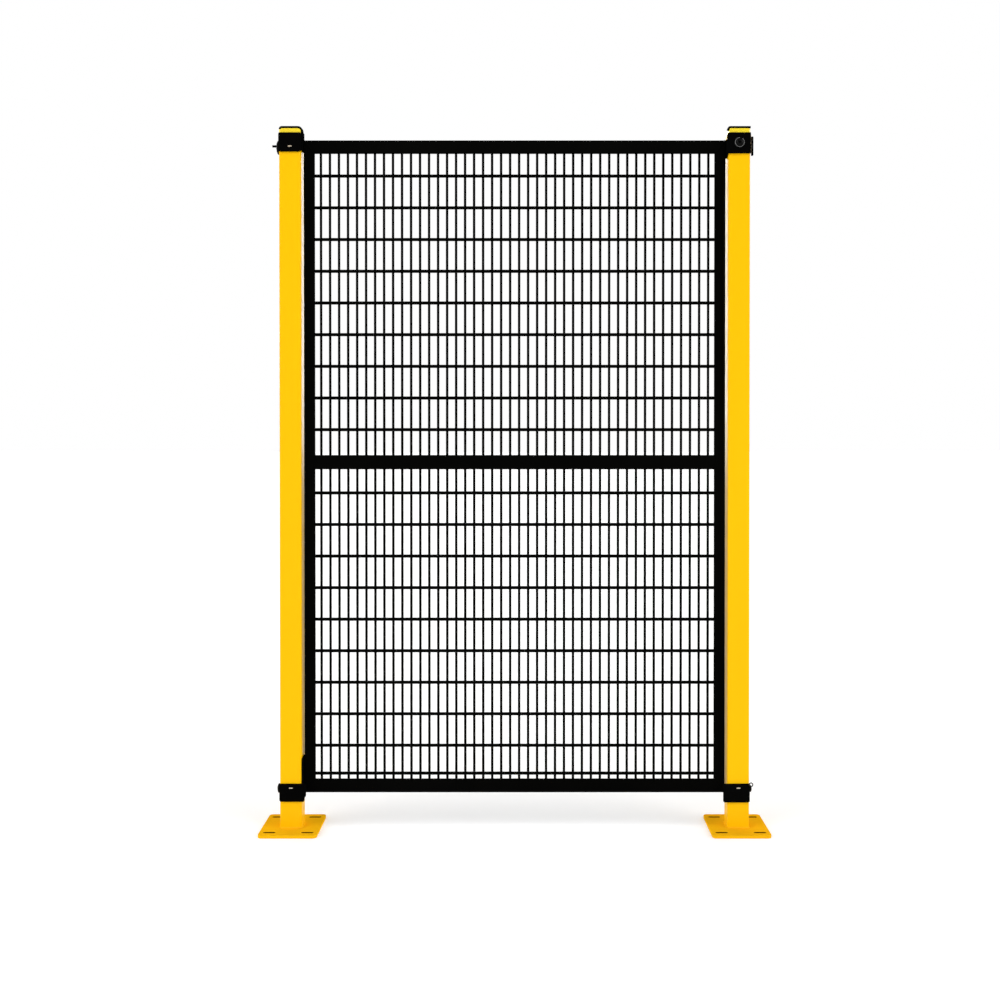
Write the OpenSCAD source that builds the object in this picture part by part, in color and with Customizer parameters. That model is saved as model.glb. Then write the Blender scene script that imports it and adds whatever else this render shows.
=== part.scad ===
// Machine guard fence panel: a black tube frame with welded wire mesh,
// held between two square floor posts by clamps at its four corners.
// Millimetres, +Z up. The origin is the middle of the left foot plate's underside,
// +X runs toward the right post and the front looks along -Y.

/* [Panel] */
// Width of the panel frame over its stiles
panel_w = 1162; // [600:2:1600]
// Height of the panel frame over its rails
panel_h = 1800; // [1200:10:2200]
// Free height between the floor and the bottom rail
floor_gap = 100; // [80:5:200]
// Face width of the two upright frame tubes
stile_w = 29; // [20:1:40]
// Face height of the top and bottom frame tubes
rail_h = 34.5; // [20:0.5:50]
// Face height of the middle frame tube
mid_rail_h = 39; // [20:1:50]
// Depth of every frame tube
frame_d = 20; // [15:1:40]
// Wall of every frame tube
frame_wall = 1.5; // [1:0.5:3]
// Outer corner radius of every frame tube
frame_corner = 2.5; // [2:0.5:5]
// Distance from the top of the panel down to the top of the middle rail
mid_rail_drop = 867; // [400:1:1200]

/* [Mesh] */
// Diameter of the upright wires
wire_v_d = 7; // [3:0.5:8]
// Diameter of the level wires
wire_h_d = 9; // [3:0.5:10]
// Distance between upright wires
pitch_v = 25; // [20:1:60]
// Distance between level wires
pitch_h = 87.8; // [50:0.1:150]
// Distance from the top of the panel down to the first level wire
first_drop = 6.5; // [4:0.5:40]
// Distance from the bottom of the panel up to the last level wire
last_rise = 47.5; // [35:0.5:100]
// Distance from the outer edges of the frame to the ends of the wires
wire_end = 5; // [2:1:10]
// How deep the crossing wires sink into each other at the weld
weld_depth = 0.5; // [0.2:0.1:1]

/* [Posts] */
// Side of the square posts
post_size = 60; // [40:5:100]
// Wall of the posts
post_wall = 2.5; // [2:0.5:5]
// Outer corner radius of the posts
post_corner = 5; // [3:0.5:8]
// Height of the top strap above the top of the panel
post_rise = 35; // [20:1:80]
// Height of the closed cap and strap on top of a post
cap_h = 20; // [16:1:30]
// How far the right cap stands in from the panel's side of its post
cap_inset = 1.5; // [1:0.5:10]

/* [Feet] */
// Width of a foot plate along the fence
plate_w = 160; // [120:5:240]
// Depth of a foot plate across the fence
plate_d = 204; // [140:2:300]
// Thickness of a foot plate
plate_t = 8; // [6:1:15]
// Corner radius of a foot plate
plate_corner = 12; // [5:1:25]
// Distance between the slots of a foot plate along the fence
slot_span_x = 104; // [90:2:180]
// Distance between the slots of a foot plate across the fence
slot_span_y = 148; // [100:2:240]
// Length of a foot plate slot from end to end
slot_len = 34; // [14:1:50]
// Width of a foot plate slot
slot_w = 11; // [8:1:18]
// Leg of the weld between post and foot plate
foot_weld = 3; // [2:1:8]

/* [Top straps] */
// Sheet thickness of the clamps, which also sets the gap between post and panel
sheet_t = 4; // [2:0.5:6]
// Sheet thickness of the straps over the posts
strap_t = 5.5; // [2:0.5:6.5]
// Outer bend radius of the left strap
strap_bend = 14; // [8:1:16]
// Depth of the straps, from the post's front
strap_d = 14; // [10:1:60]
// Outer bend radius of the left strap's hooked end
hook_bend = 8; // [7:0.5:12]
// Length of the left strap's leg below its bend
strap_leg = 52; // [20:1:90]
// Depth of the left strap's leg, from the post's front
strap_leg_d = 40; // [22:2:50]
// Length of the right strap's folded lip
lip_len = 10; // [5:0.5:14]
// Angle of the right strap's folded lip below the level
lip_angle = 68; // [45:1:75]
// How far the right strap's fold stands in from the panel's side of its post
lip_inset = 0.5; // [0:0.5:5]

/* [Upper clamps] */
// Corner radius of the clamp plates
sheet_corner = 4; // [1:0.5:6]
// How far the clamp plates reach past the post's face at each side
plate_lap = 1; // [0:0.5:3]
// Distance from the strap's top down to the upper front plates
plate_drop = 18; // [8:1:30]
// Height of the upper left front plate
top_left_h = 52; // [40:1:80]
// Height of the upper right front plate
top_right_h = 57; // [40:1:80]
// Distance from the left front plate's top down to its slot
top_slot_drop = 37; // [20:1:45]
// Depth of the clamp legs behind the panel's front
leg_reach = 20; // [5:1:30]
// Height of the sloped lower end of the upper right leg
leg_slope = 8; // [5:1:25]
// Distance from the right front plate's top down to its round bolt
top_bolt_drop = 27; // [18:1:40]
// Diameter of the round bolt of the upper right clamp
top_bolt_d = 27; // [15:1:35]
// Thickness of the side plate of the upper right clamp
side_plate_t = 4.5; // [3:0.5:8]
// Height of the side plate of the upper right clamp
side_plate_h = 52; // [30:1:80]
// Depth of the side plate of the upper right clamp
side_plate_d = 14; // [8:1:56]
// Distance that the spacer holds the side plate off the post
side_plate_off = 4; // [2:0.5:10]
// Depth of the spacer bar behind the side plate
spacer_d = 8; // [6:1:20]
// Height of the spacer bar behind the side plate
spacer_h = 50; // [20:1:60]
// Height of the spacer bar's middle above the side plate's
spacer_rise = 6; // [0:1:10]
// Distance from the strap's top down to the middle of the side plate
side_plate_drop = 54; // [40:1:90]
// Diameter of the domed washer on the left post
knob_d = 39; // [25:1:50]
// Height of the domed washer on the left post
knob_h = 11; // [7:0.5:14]
// Height of the domed washer's straight rim
knob_rim = 5; // [1:0.5:6]
// Distance from the strap's top down to the middle of the domed washer
knob_drop = 54; // [40:1:90]
// Diameter of the bolt tip in the domed washer
tip_d = 7; // [4:0.5:12]
// Length of the bolt tip outside the domed washer
tip_len = 11; // [4:1:20]
// Height of the bolt tip above the middle of the domed washer
tip_rise = 4; // [0:1:8]

/* [Lower clamps] */
// Height of the left front band
left_band_h = 37; // [20:1:45]
// Height of the right front band
right_band_h = 23; // [15:1:40]
// Height of the top of both bands above the panel's underside
band_rise = 30; // [15:1:60]
// How far the bands reach past their posts over the panel
band_lap = 12; // [5:1:20]
// Radius of the left band's lower corner over the panel
band_corner = 5; // [1:0.5:10]
// Height of the collar below the left band
left_collar_h = 12; // [10:1:40]
// How far the left collar reaches past its post below the panel
left_collar_lap = 8; // [5:1:20]
// Height of the collar below the right band
right_collar_h = 28; // [10:1:40]
// How far the right collar reaches past its post below the panel
right_collar_lap = 12; // [5:1:20]
// Radius of the collars' lower corners
collar_corner = 5; // [3:0.5:5]
// Height of the lower left leg above the band's top
tab_rise = 71; // [30:1:120]
// Height of the side bolts above the panel's underside
side_bolt_rise = 18; // [8:1:40]
// Diameter of the left side bolt's head
left_head_d = 26; // [15:1:30]
// Distance from the left slot down to the left side bolt
left_head_drop = 8; // [0:1:12]
// Diameter of the right side bolt's head
right_head_d = 20; // [15:1:30]
// Height of the side bolts' heads
head_h = 11; // [9:0.5:14]
// Height of the straight rim of the side bolts' heads
head_rim = 7; // [1:0.5:7]
// Outer diameter of the pull ring
ring_d = 12.6; // [8:0.2:20]
// Wire diameter of the pull ring
ring_wire = 3; // [1:0.2:4]
// Distance from the post's outer side to the pull ring's middle
ring_off = 4; // [1:0.5:6]

/* [Clamp slots] */
// Length of the slots in the clamps' fronts
clamp_slot_len = 12; // [8:1:20]
// Width of the slots in the clamps' fronts
clamp_slot_w = 4.5; // [3:0.5:8]

/* [Hidden] */
$fn = 48;
seat = 0.3;
overshoot = 5;
half_post = post_size / 2;
side_gap = sheet_t + 2 * seat;
right_x = post_size + 2 * side_gap + panel_w;
panel_x = half_post + side_gap;
panel_top = floor_gap + panel_h;
strap_top = panel_top + post_rise;
post_top = strap_top - cap_h;
cap_top = strap_top - strap_t - seat;
front_y = -half_post - seat - sheet_t;
leg_back = -frame_d / 2 + leg_reach;
// A six-sided bar of this radius has the same cross-section area as a round wire
bar_h_r = 1.1 * wire_h_d / 2;
bar_v_r = 1.1 * wire_v_d / 2;
bar_h_flat = bar_h_r * cos(30);
bar_v_flat = bar_v_r * cos(30);
wire_h_y = frame_d / 2 + bar_h_flat;
wire_v_y = wire_h_y + bar_h_flat + bar_v_flat - weld_depth;
half_count_v = floor((panel_w - 2 * stile_w) / pitch_v / 2);
wire_v_x0 = panel_w / 2 - (half_count_v - 0.5) * pitch_v;
last_drop = panel_h - last_rise;
count_h = floor((last_drop - 2 * wire_h_d - first_drop) / pitch_h) + 1;
mesh_split_drop = mid_rail_drop + 0.75 * mid_rail_h;
upper_count_h = floor((mesh_split_drop - wire_h_d - first_drop) / pitch_h) + 1;
black = [0.03, 0.03, 0.03];
yellow = [0.97, 0.7, 0.02];

// Shared shapes

module rounded_rect(w, d, r) {
    union() {
        square([w - 2 * r, d], center = true);
        square([w, d - 2 * r], center = true);
        for (sx = [-1, 1], sy = [-1, 1])
            translate([sx * (w / 2 - r), sy * (d / 2 - r)]) circle(r);
    }
}

module slot(len, w) {
    union() {
        square([len - w, w], center = true);
        for (s = [-1, 1]) translate([s * (len - w) / 2, 0]) circle(w / 2);
    }
}

// Extrudes an outline drawn as seen from the front, from y0 back to y1
module from_front(y0, y1) {
    translate([0, y1, 0]) rotate([90, 0, 0]) linear_extrude(height = y1 - y0) children();
}

// Extrudes an outline drawn as seen from the right (its x is the row's Y), from x0 to x1
module from_side(x0, x1) {
    translate([x0, 0, 0]) rotate([90, 0, 90]) linear_extrude(height = x1 - x0) children();
}

// A domed head of diameter d and height h on a short cylindrical rim, standing along +Z
module dome(d, h, rim) {
    rise = h - rim;
    ball = (d * d / 4 + rise * rise) / (2 * rise);
    rotate_extrude() union() {
        square([d / 2, rim]);
        translate([0, rim]) intersection() {
            translate([0, rise - ball]) circle(ball);
            square([d / 2 + 1, rise + 1]);
        }
    }
}

// Posts and feet

module post() {
    translate([0, 0, plate_t]) linear_extrude(height = post_top - plate_t) difference() {
        rounded_rect(post_size, post_size, post_corner);
        rounded_rect(post_size - 2 * post_wall, post_size - 2 * post_wall, post_corner - post_wall);
    }
}

module left_post() color(yellow) post();

module right_post() color(yellow) translate([right_x, 0, 0]) post();

module foot_plate() {
    linear_extrude(height = plate_t) difference() {
        rounded_rect(plate_w, plate_d, plate_corner);
        for (sx = [-1, 1], sy = [-1, 1])
            translate([sx * slot_span_x / 2, sy * slot_span_y / 2]) slot(slot_len, slot_w);
    }
}

module left_foot_plate() color(yellow) foot_plate();

module right_foot_plate() color(yellow) translate([right_x, 0, 0]) foot_plate();

// A ring of triangular section: the common part of two sloped prisms, less the post
module foot_bead() {
    half = half_post + foot_weld;
    slope = [[-half, 0], [half, 0], [half_post, foot_weld], [-half_post, foot_weld]];
    translate([0, 0, plate_t]) difference() {
        intersection() {
            from_front(-half, half) polygon(slope);
            from_side(-half, half) polygon(slope);
        }
        translate([0, 0, -overshoot]) linear_extrude(height = foot_weld + 2 * overshoot)
            rounded_rect(post_size + 2 * seat, post_size + 2 * seat, post_corner + seat);
    }
}

module left_foot_weld() color(yellow) foot_bead();

module right_foot_weld() color(yellow) translate([right_x, 0, 0]) foot_bead();

// Closed caps on the posts, cut from the post's own section by a front outline

module cap_blank() {
    translate([0, 0, post_top]) linear_extrude(height = cap_top - post_top)
        rounded_rect(post_size, post_size, post_corner);
}

bend_x = half_post + seat + strap_t - strap_bend;
bend_z = strap_top - strap_bend;
hook_x = -half_post + hook_bend;
hook_z = strap_top - hook_bend;

// The left cap's shoulders follow the inside of the strap's bend and of its hooked end
module left_cap() {
    shoulder = strap_bend - strap_t - seat;
    hook = hook_bend - strap_t - seat;
    color(yellow) difference() {
        cap_blank();
        from_front(-half_post - overshoot, half_post + overshoot) difference() {
            translate([bend_x, bend_z]) square(shoulder + overshoot);
            translate([bend_x, bend_z]) circle(shoulder);
        }
        from_front(-half_post - overshoot, half_post + overshoot) difference() {
            translate([-half_post - overshoot, hook_z - seat])
                square([hook_bend + overshoot, hook_bend + overshoot]);
            translate([hook_x, hook_z]) circle(hook);
            translate([hook_x - hook, hook_z - overshoot]) square([hook + overshoot, overshoot]);
        }
    }
}

lip_x = -half_post + lip_inset;

// The right cap's shoulder runs along the inside of the strap's folded lip
module right_cap() {
    fold = [lip_x + strap_t * tan(lip_angle / 2) + seat, cap_top];
    foot_z = fold[1] - (fold[0] + half_post - cap_inset) * tan(lip_angle);
    color(yellow) translate([right_x, 0, 0]) intersection() {
        cap_blank();
        from_front(-half_post - overshoot, half_post + overshoot) polygon([
            [half_post + overshoot, post_top - overshoot], [half_post + overshoot, cap_top + overshoot],
            [fold[0] + overshoot / tan(lip_angle), cap_top + overshoot],
            [-half_post + cap_inset, foot_z], [-half_post + cap_inset, post_top - overshoot]]);
    }
}

// Panel frame: rounded tubes mitred where stiles and rails meet

mitre = rail_h / stile_w;

module tube_section(w, d) {
    difference() {
        rounded_rect(w, d, frame_corner);
        rounded_rect(w - 2 * frame_wall, d - 2 * frame_wall, frame_corner - frame_wall);
    }
}

module stile() {
    translate([panel_x, 0, floor_gap]) intersection() {
        translate([stile_w / 2, 0, 0]) linear_extrude(height = panel_h) tube_section(stile_w, frame_d);
        from_front(-frame_d, frame_d) polygon([
            [-overshoot, -overshoot * mitre],
            [stile_w + overshoot, rail_h + overshoot * mitre],
            [stile_w + overshoot, panel_h - rail_h - overshoot * mitre],
            [-overshoot, panel_h + overshoot * mitre]]);
    }
}

module rail() {
    translate([panel_x, 0, floor_gap]) intersection() {
        translate([0, 0, rail_h / 2]) from_side(0, panel_w) tube_section(frame_d, rail_h);
        from_front(-frame_d, frame_d) polygon([
            [-overshoot / mitre, -overshoot],
            [panel_w + overshoot / mitre, -overshoot],
            [panel_w - stile_w - overshoot / mitre, rail_h + overshoot],
            [stile_w + overshoot / mitre, rail_h + overshoot]]);
    }
}

module left_stile() color(black) stile();

module right_stile() color(black)
    translate([2 * panel_x + panel_w, 0, 0]) mirror([1, 0, 0]) stile();

module bottom_rail() color(black) rail();

module top_rail() color(black)
    translate([0, 0, 2 * floor_gap + panel_h]) mirror([0, 0, 1]) rail();

module mid_rail() {
    color(black) translate([panel_x, 0, panel_top - mid_rail_drop - mid_rail_h / 2])
        from_side(stile_w, panel_w - stile_w) tube_section(frame_d, mid_rail_h);
}

// Mesh: level wires against the back of the frame, upright wires welded behind them

module level_bar(x0, x1, drop) {
    translate([panel_x + x0, wire_h_y, panel_top - drop]) rotate([0, 90, 0])
        cylinder(h = x1 - x0, r = bar_h_r, $fn = 6);
}

module upright_bar(x, z0, z1) {
    translate([panel_x + x, wire_v_y, z0]) cylinder(h = z1 - z0, r = bar_v_r, $fn = 6);
}

module mesh_part(side, drops, z0, z1) {
    x0 = side == "left" ? wire_end : panel_w / 2;
    x1 = side == "left" ? panel_w / 2 : panel_w - wire_end;
    first = side == "left" ? 0 : half_count_v;
    union() {
        for (drop = drops) level_bar(x0, x1, drop);
        for (i = [first : first + half_count_v - 1]) upright_bar(wire_v_x0 + i * pitch_v, z0, z1);
    }
}

module mesh_upper(side) {
    mesh_part(side, [for (k = [0 : upper_count_h - 1]) first_drop + k * pitch_h],
        panel_top - mesh_split_drop, panel_top - first_drop + wire_h_d / 2);
}

module mesh_lower(side) {
    mesh_part(side, concat([for (k = [upper_count_h : count_h - 1]) first_drop + k * pitch_h], [last_drop]),
        floor_gap + wire_end, panel_top - mesh_split_drop);
}

module mesh_upper_left() color(black) mesh_upper("left");

module mesh_upper_right() color(black) mesh_upper("right");

module mesh_lower_left() color(black) mesh_lower("left");

module mesh_lower_right() color(black) mesh_lower("right");

// Upper left corner: a strap bent over the post and down beside the panel, with a front plate

// A quarter of a bent strap of outer radius r, up and to the right of the bend's centre
module quarter_bend(r) {
    intersection() {
        difference() {
            circle(r);
            circle(r - strap_t);
        }
        square(r + overshoot);
    }
}

module top_left_strap() {
    leg_x = half_post + seat;
    color(black) union() {
        from_front(-half_post, -half_post + strap_d) union() {
            translate([hook_x, strap_top - strap_t]) square([bend_x - hook_x, strap_t]);
            translate([bend_x, bend_z]) quarter_bend(strap_bend);
            translate([hook_x, hook_z]) mirror([1, 0]) quarter_bend(hook_bend);
            translate([leg_x, panel_top + seat]) square([strap_t, bend_z - panel_top - seat]);
        }
        translate([0, 0, bend_z - strap_leg]) from_side(leg_x, leg_x + sheet_t)
            translate([-half_post, 0]) square([strap_leg_d, strap_leg]);
    }
}

module top_left_plate() {
    z = strap_top - plate_drop;
    color(black) translate([0, 0, z]) from_front(front_y, front_y + sheet_t) difference() {
        translate([0, -top_left_h / 2]) rounded_rect(post_size + 2 * plate_lap, top_left_h, sheet_corner);
        translate([0, -top_slot_drop]) slot(clamp_slot_len, clamp_slot_w);
    }
}

module top_left_knob() {
    color(black) translate([-half_post - seat, 0, strap_top - knob_drop]) rotate([0, -90, 0])
        dome(knob_d, knob_h, knob_rim);
}

module top_left_bolt_tip() {
    color(black) translate([-half_post - 2 * seat - knob_h, 0, strap_top - knob_drop + tip_rise])
        rotate([0, -90, 0]) cylinder(h = tip_len, r = tip_d / 2);
}

// Upper right corner: a folded clamp with a sloped leg beside the panel, a round bolt
// in front and a side plate on a spacer

module top_right_strap() {
    run = [-cos(lip_angle), -sin(lip_angle)];
    outer_end = [lip_x + lip_len * run[0], lip_len * run[1]];
    inner_end = [outer_end[0] - strap_t * run[1], outer_end[1] + strap_t * run[0]];
    color(black) translate([right_x, 0, strap_top]) from_front(-half_post, -half_post + strap_d) polygon([
        [lip_x, 0], [half_post + plate_lap, 0], [half_post + plate_lap, -strap_t],
        [lip_x + strap_t * tan(lip_angle / 2), -strap_t], inner_end, outer_end]);
}

module top_right_plate() {
    half = half_post + plate_lap;
    cut = sheet_corner;
    leg_x = -half_post - seat;
    leg_top = plate_drop - post_rise;
    color(black) translate([right_x, 0, strap_top - plate_drop]) union() {
        from_front(front_y, front_y + sheet_t) polygon([
            [leg_x - sheet_t, leg_top], [-half_post, leg_top], [-half_post, -1.5 * cut],
            [-half_post + cut, 0], [half - 1, 0], [half, -1],
            [half, 1 - top_right_h], [half - 1, -top_right_h], [leg_x - sheet_t, -top_right_h]]);
        from_side(leg_x - sheet_t, leg_x) polygon([
            [front_y, leg_top], [leg_back, leg_top], [leg_back, -top_right_h - leg_slope],
            [front_y + leg_reach, -top_right_h - leg_slope], [front_y, -top_right_h]]);
    }
}

module top_right_bolt() {
    color(black) translate([right_x, front_y - seat, strap_top - plate_drop - top_bolt_drop])
        rotate([90, 0, 0]) union() {
            cylinder(h = 1.5, r = top_bolt_d / 2);
            translate([0, 0, 1.5]) dome(0.7 * top_bolt_d, 4, 0.5);
        }
}

module top_right_spacer() {
    x0 = half_post + seat;
    y = -half_post + post_corner + spacer_d / 2;
    z = strap_top - side_plate_drop + spacer_rise;
    color(black) translate([right_x, y, z]) from_side(x0, half_post + side_plate_off - seat)
        rounded_rect(spacer_d, spacer_h, 1);
}

module top_right_clamp() {
    x0 = half_post + side_plate_off;
    y = (side_plate_d - post_size) / 2;
    color(black) translate([right_x, y, strap_top - side_plate_drop]) from_side(x0, x0 + side_plate_t)
        rounded_rect(side_plate_d, side_plate_h, sheet_corner);
}

// Lower corners: a front band with a slot over a folded collar, a bolt head at the outer
// side, and at the left a leg that rises beside the panel

band_top = floor_gap + band_rise;

module bottom_left_band() {
    x0 = -half_post - plate_lap;
    x1 = half_post + band_lap;
    z0 = band_top - left_band_h;
    color(black) from_front(front_y, front_y + sheet_t) difference() {
        union() {
            translate([x0, z0]) square([x1 - x0 - band_corner, left_band_h]);
            translate([x0, z0 + band_corner]) square([x1 - x0, left_band_h - band_corner]);
            translate([x1 - band_corner, z0 + band_corner]) circle(band_corner);
        }
        translate([0, floor_gap + side_bolt_rise]) slot(clamp_slot_len, clamp_slot_w);
    }
}

module bottom_right_band() {
    w = post_size + band_lap + plate_lap;
    color(black) translate([right_x, 0, 0]) from_front(front_y, front_y + sheet_t) difference() {
        translate([(plate_lap - band_lap) / 2, band_top - right_band_h / 2])
            rounded_rect(w, right_band_h, 1.5);
        translate([0, floor_gap + side_bolt_rise]) slot(clamp_slot_len, clamp_slot_w);
    }
}

// A collar below a band: a plate in front of the post, rounded below, and a leg at its inner side
module collar(top, h, lap) {
    x0 = -half_post - plate_lap;
    w = post_size + plate_lap + lap;
    leg_x = half_post + seat;
    r = collar_corner;
    translate([0, 0, top - h]) union() {
        from_front(front_y, front_y + sheet_t) translate([x0, 0]) union() {
            translate([r, 0]) square([w - 2 * r, h]);
            translate([0, r]) square([w, h - r]);
            for (x = [r, w - r]) translate([x, r]) circle(r);
        }
        from_side(leg_x, leg_x + sheet_t) translate([front_y, r / 2])
            square([leg_back - front_y, h - r / 2]);
    }
}

module bottom_left_collar() color(black)
    collar(band_top - left_band_h - seat, left_collar_h, left_collar_lap);

module bottom_right_collar() color(black) translate([right_x, 0, 0]) mirror([1, 0, 0])
    collar(band_top - right_band_h - seat, right_collar_h, right_collar_lap);

module bottom_left_tab() {
    leg_x = half_post + seat;
    color(black) from_side(leg_x, leg_x + sheet_t) polygon([
        [-half_post, floor_gap], [leg_back, floor_gap], [leg_back, band_top + tab_rise],
        [-half_post + sheet_corner, band_top + tab_rise], [-half_post, band_top + tab_rise - sheet_corner]]);
}

module bottom_left_head() {
    z = floor_gap + side_bolt_rise - left_head_drop;
    color(black) translate([-half_post - seat, 0, z]) rotate([0, -90, 0])
        dome(left_head_d, head_h, head_rim);
}

module bottom_right_head() {
    color(black) translate([right_x + half_post + seat, 0, floor_gap + side_bolt_rise]) rotate([0, 90, 0])
        dome(right_head_d, head_h, head_rim);
}

// The pull ring hangs in front of the band, at the post's outer edge
module bottom_right_ring() {
    y = front_y - seat - ring_wire / 2;
    z = band_top - ring_wire / 2;
    color(black) translate([right_x + half_post + ring_off, y, z])
        rotate([90, 0, 0]) rotate_extrude() translate([(ring_d - ring_wire) / 2, 0]) circle(ring_wire / 2);
}

left_post();
right_post();
left_foot_plate();
right_foot_plate();
left_foot_weld();
right_foot_weld();
left_cap();
right_cap();
left_stile();
right_stile();
top_rail();
mid_rail();
bottom_rail();
mesh_upper_left();
mesh_upper_right();
mesh_lower_left();
mesh_lower_right();
top_left_plate();
top_left_strap();
top_left_knob();
top_left_bolt_tip();
top_right_plate();
top_right_strap();
top_right_bolt();
top_right_clamp();
top_right_spacer();
bottom_left_band();
bottom_left_collar();
bottom_left_tab();
bottom_left_head();
bottom_right_band();
bottom_right_collar();
bottom_right_head();
bottom_right_ring();
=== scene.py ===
"""Machine guard fence panel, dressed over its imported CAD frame.

Two yellow floor posts carry a black tube frame with welded wire mesh, held by sheet
metal clamps at its four corners. Every place comes from the CAD nodes' boxes, and every
CAD node is replaced by a piece with the same outline, rounded rims and finer detail.
"""

import logging
import math
from collections.abc import Callable, Iterable, Iterator
from dataclasses import dataclass, field
from enum import Enum

import bmesh
import bpy
from mathutils import Matrix, Vector


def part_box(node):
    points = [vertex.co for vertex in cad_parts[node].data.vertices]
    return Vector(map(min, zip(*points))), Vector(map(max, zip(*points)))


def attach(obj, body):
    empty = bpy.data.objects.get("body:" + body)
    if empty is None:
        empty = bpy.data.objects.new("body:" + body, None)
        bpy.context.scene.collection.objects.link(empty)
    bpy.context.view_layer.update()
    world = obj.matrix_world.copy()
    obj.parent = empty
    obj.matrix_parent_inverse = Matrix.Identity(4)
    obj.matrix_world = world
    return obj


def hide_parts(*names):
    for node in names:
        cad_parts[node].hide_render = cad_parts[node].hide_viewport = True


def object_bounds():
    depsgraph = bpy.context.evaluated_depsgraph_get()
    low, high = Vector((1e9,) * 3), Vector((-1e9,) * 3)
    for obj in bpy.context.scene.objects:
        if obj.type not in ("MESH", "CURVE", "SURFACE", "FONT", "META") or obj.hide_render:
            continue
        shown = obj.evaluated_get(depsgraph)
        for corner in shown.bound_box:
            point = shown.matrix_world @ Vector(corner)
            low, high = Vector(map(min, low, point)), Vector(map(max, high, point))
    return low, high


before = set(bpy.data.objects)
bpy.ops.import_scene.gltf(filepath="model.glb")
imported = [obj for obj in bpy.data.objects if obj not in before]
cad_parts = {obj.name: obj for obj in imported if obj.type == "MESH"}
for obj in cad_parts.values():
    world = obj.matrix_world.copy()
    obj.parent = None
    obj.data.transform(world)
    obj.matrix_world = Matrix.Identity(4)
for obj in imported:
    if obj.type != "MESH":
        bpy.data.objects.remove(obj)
CAD_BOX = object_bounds()

MM = 0.001
FOOT_SLOT_LENGTH = 34.0 * MM
FOOT_SLOT_WIDTH = 11.0 * MM
FOOT_SLOT_SPAN = Vector((104.0, 148.0, 0.0)) * MM
X = Vector((1.0, 0.0, 0.0))
Y = Vector((0.0, 1.0, 0.0))
Z = Vector((0.0, 0.0, 1.0))

Colour = tuple[float, float, float, float]
Test = Callable[[Vector, Vector], bool]

log = logging.getLogger("fence_panel")


class Side(Enum):
    """The two ends of the panel."""

    LEFT = "left"
    RIGHT = "right"


class Slot(Enum):
    """The record's material slots."""

    POST = "post_yellow"
    FOOT = "foot_yellow"
    CAP = "cap_yellow"
    FRAME = "frame_black"
    MESH = "mesh_black"
    BRACKET = "bracket_black"
    FASTENER = "fastener_black"


class Pick(Enum):
    """What a selection takes hold of."""

    FACES = "FACE"
    EDGES = "EDGE"

    def measure(self, part: bmesh.types.BMFace | bmesh.types.BMEdge) -> tuple[Vector, Vector]:
        """Measure a face or an edge.

        Args:
            part: The face or edge.

        Returns:
            Its middle, and its normal if it is a face or its direction if it is an edge.
        """
        if self is Pick.FACES:
            return part.calc_center_median(), part.normal
        first, last = (point.co for point in part.verts)
        return (first + last) / 2, (last - first).normalized()


def along(axis: Vector) -> Test:
    """Make a test for edges that run along an axis."""
    return lambda place, way: abs(way.dot(axis)) > 0.99


def facing(axis: Vector) -> Test:
    """Make a test for faces that look along an axis."""
    return lambda place, way: way.dot(axis) > 0.99


def at(point: Vector, **axes: bool) -> Test:
    """Make a test for parts that lie level with a point.

    Args:
        point: The point.
        axes: The axes x, y and z that have to agree.

    Returns:
        The test.
    """
    wanted = [index for index, axis in enumerate("xyz") if axes.get(axis)]
    return lambda place, way: all(abs(place[i] - point[i]) < 0.01 * MM for i in wanted)


def both(*tests: Test) -> Test:
    """Make a test that passes where all of several tests pass."""
    return lambda place, way: all(test(place, way) for test in tests)


# The bench: meshes made with Blender's own tools


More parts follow.
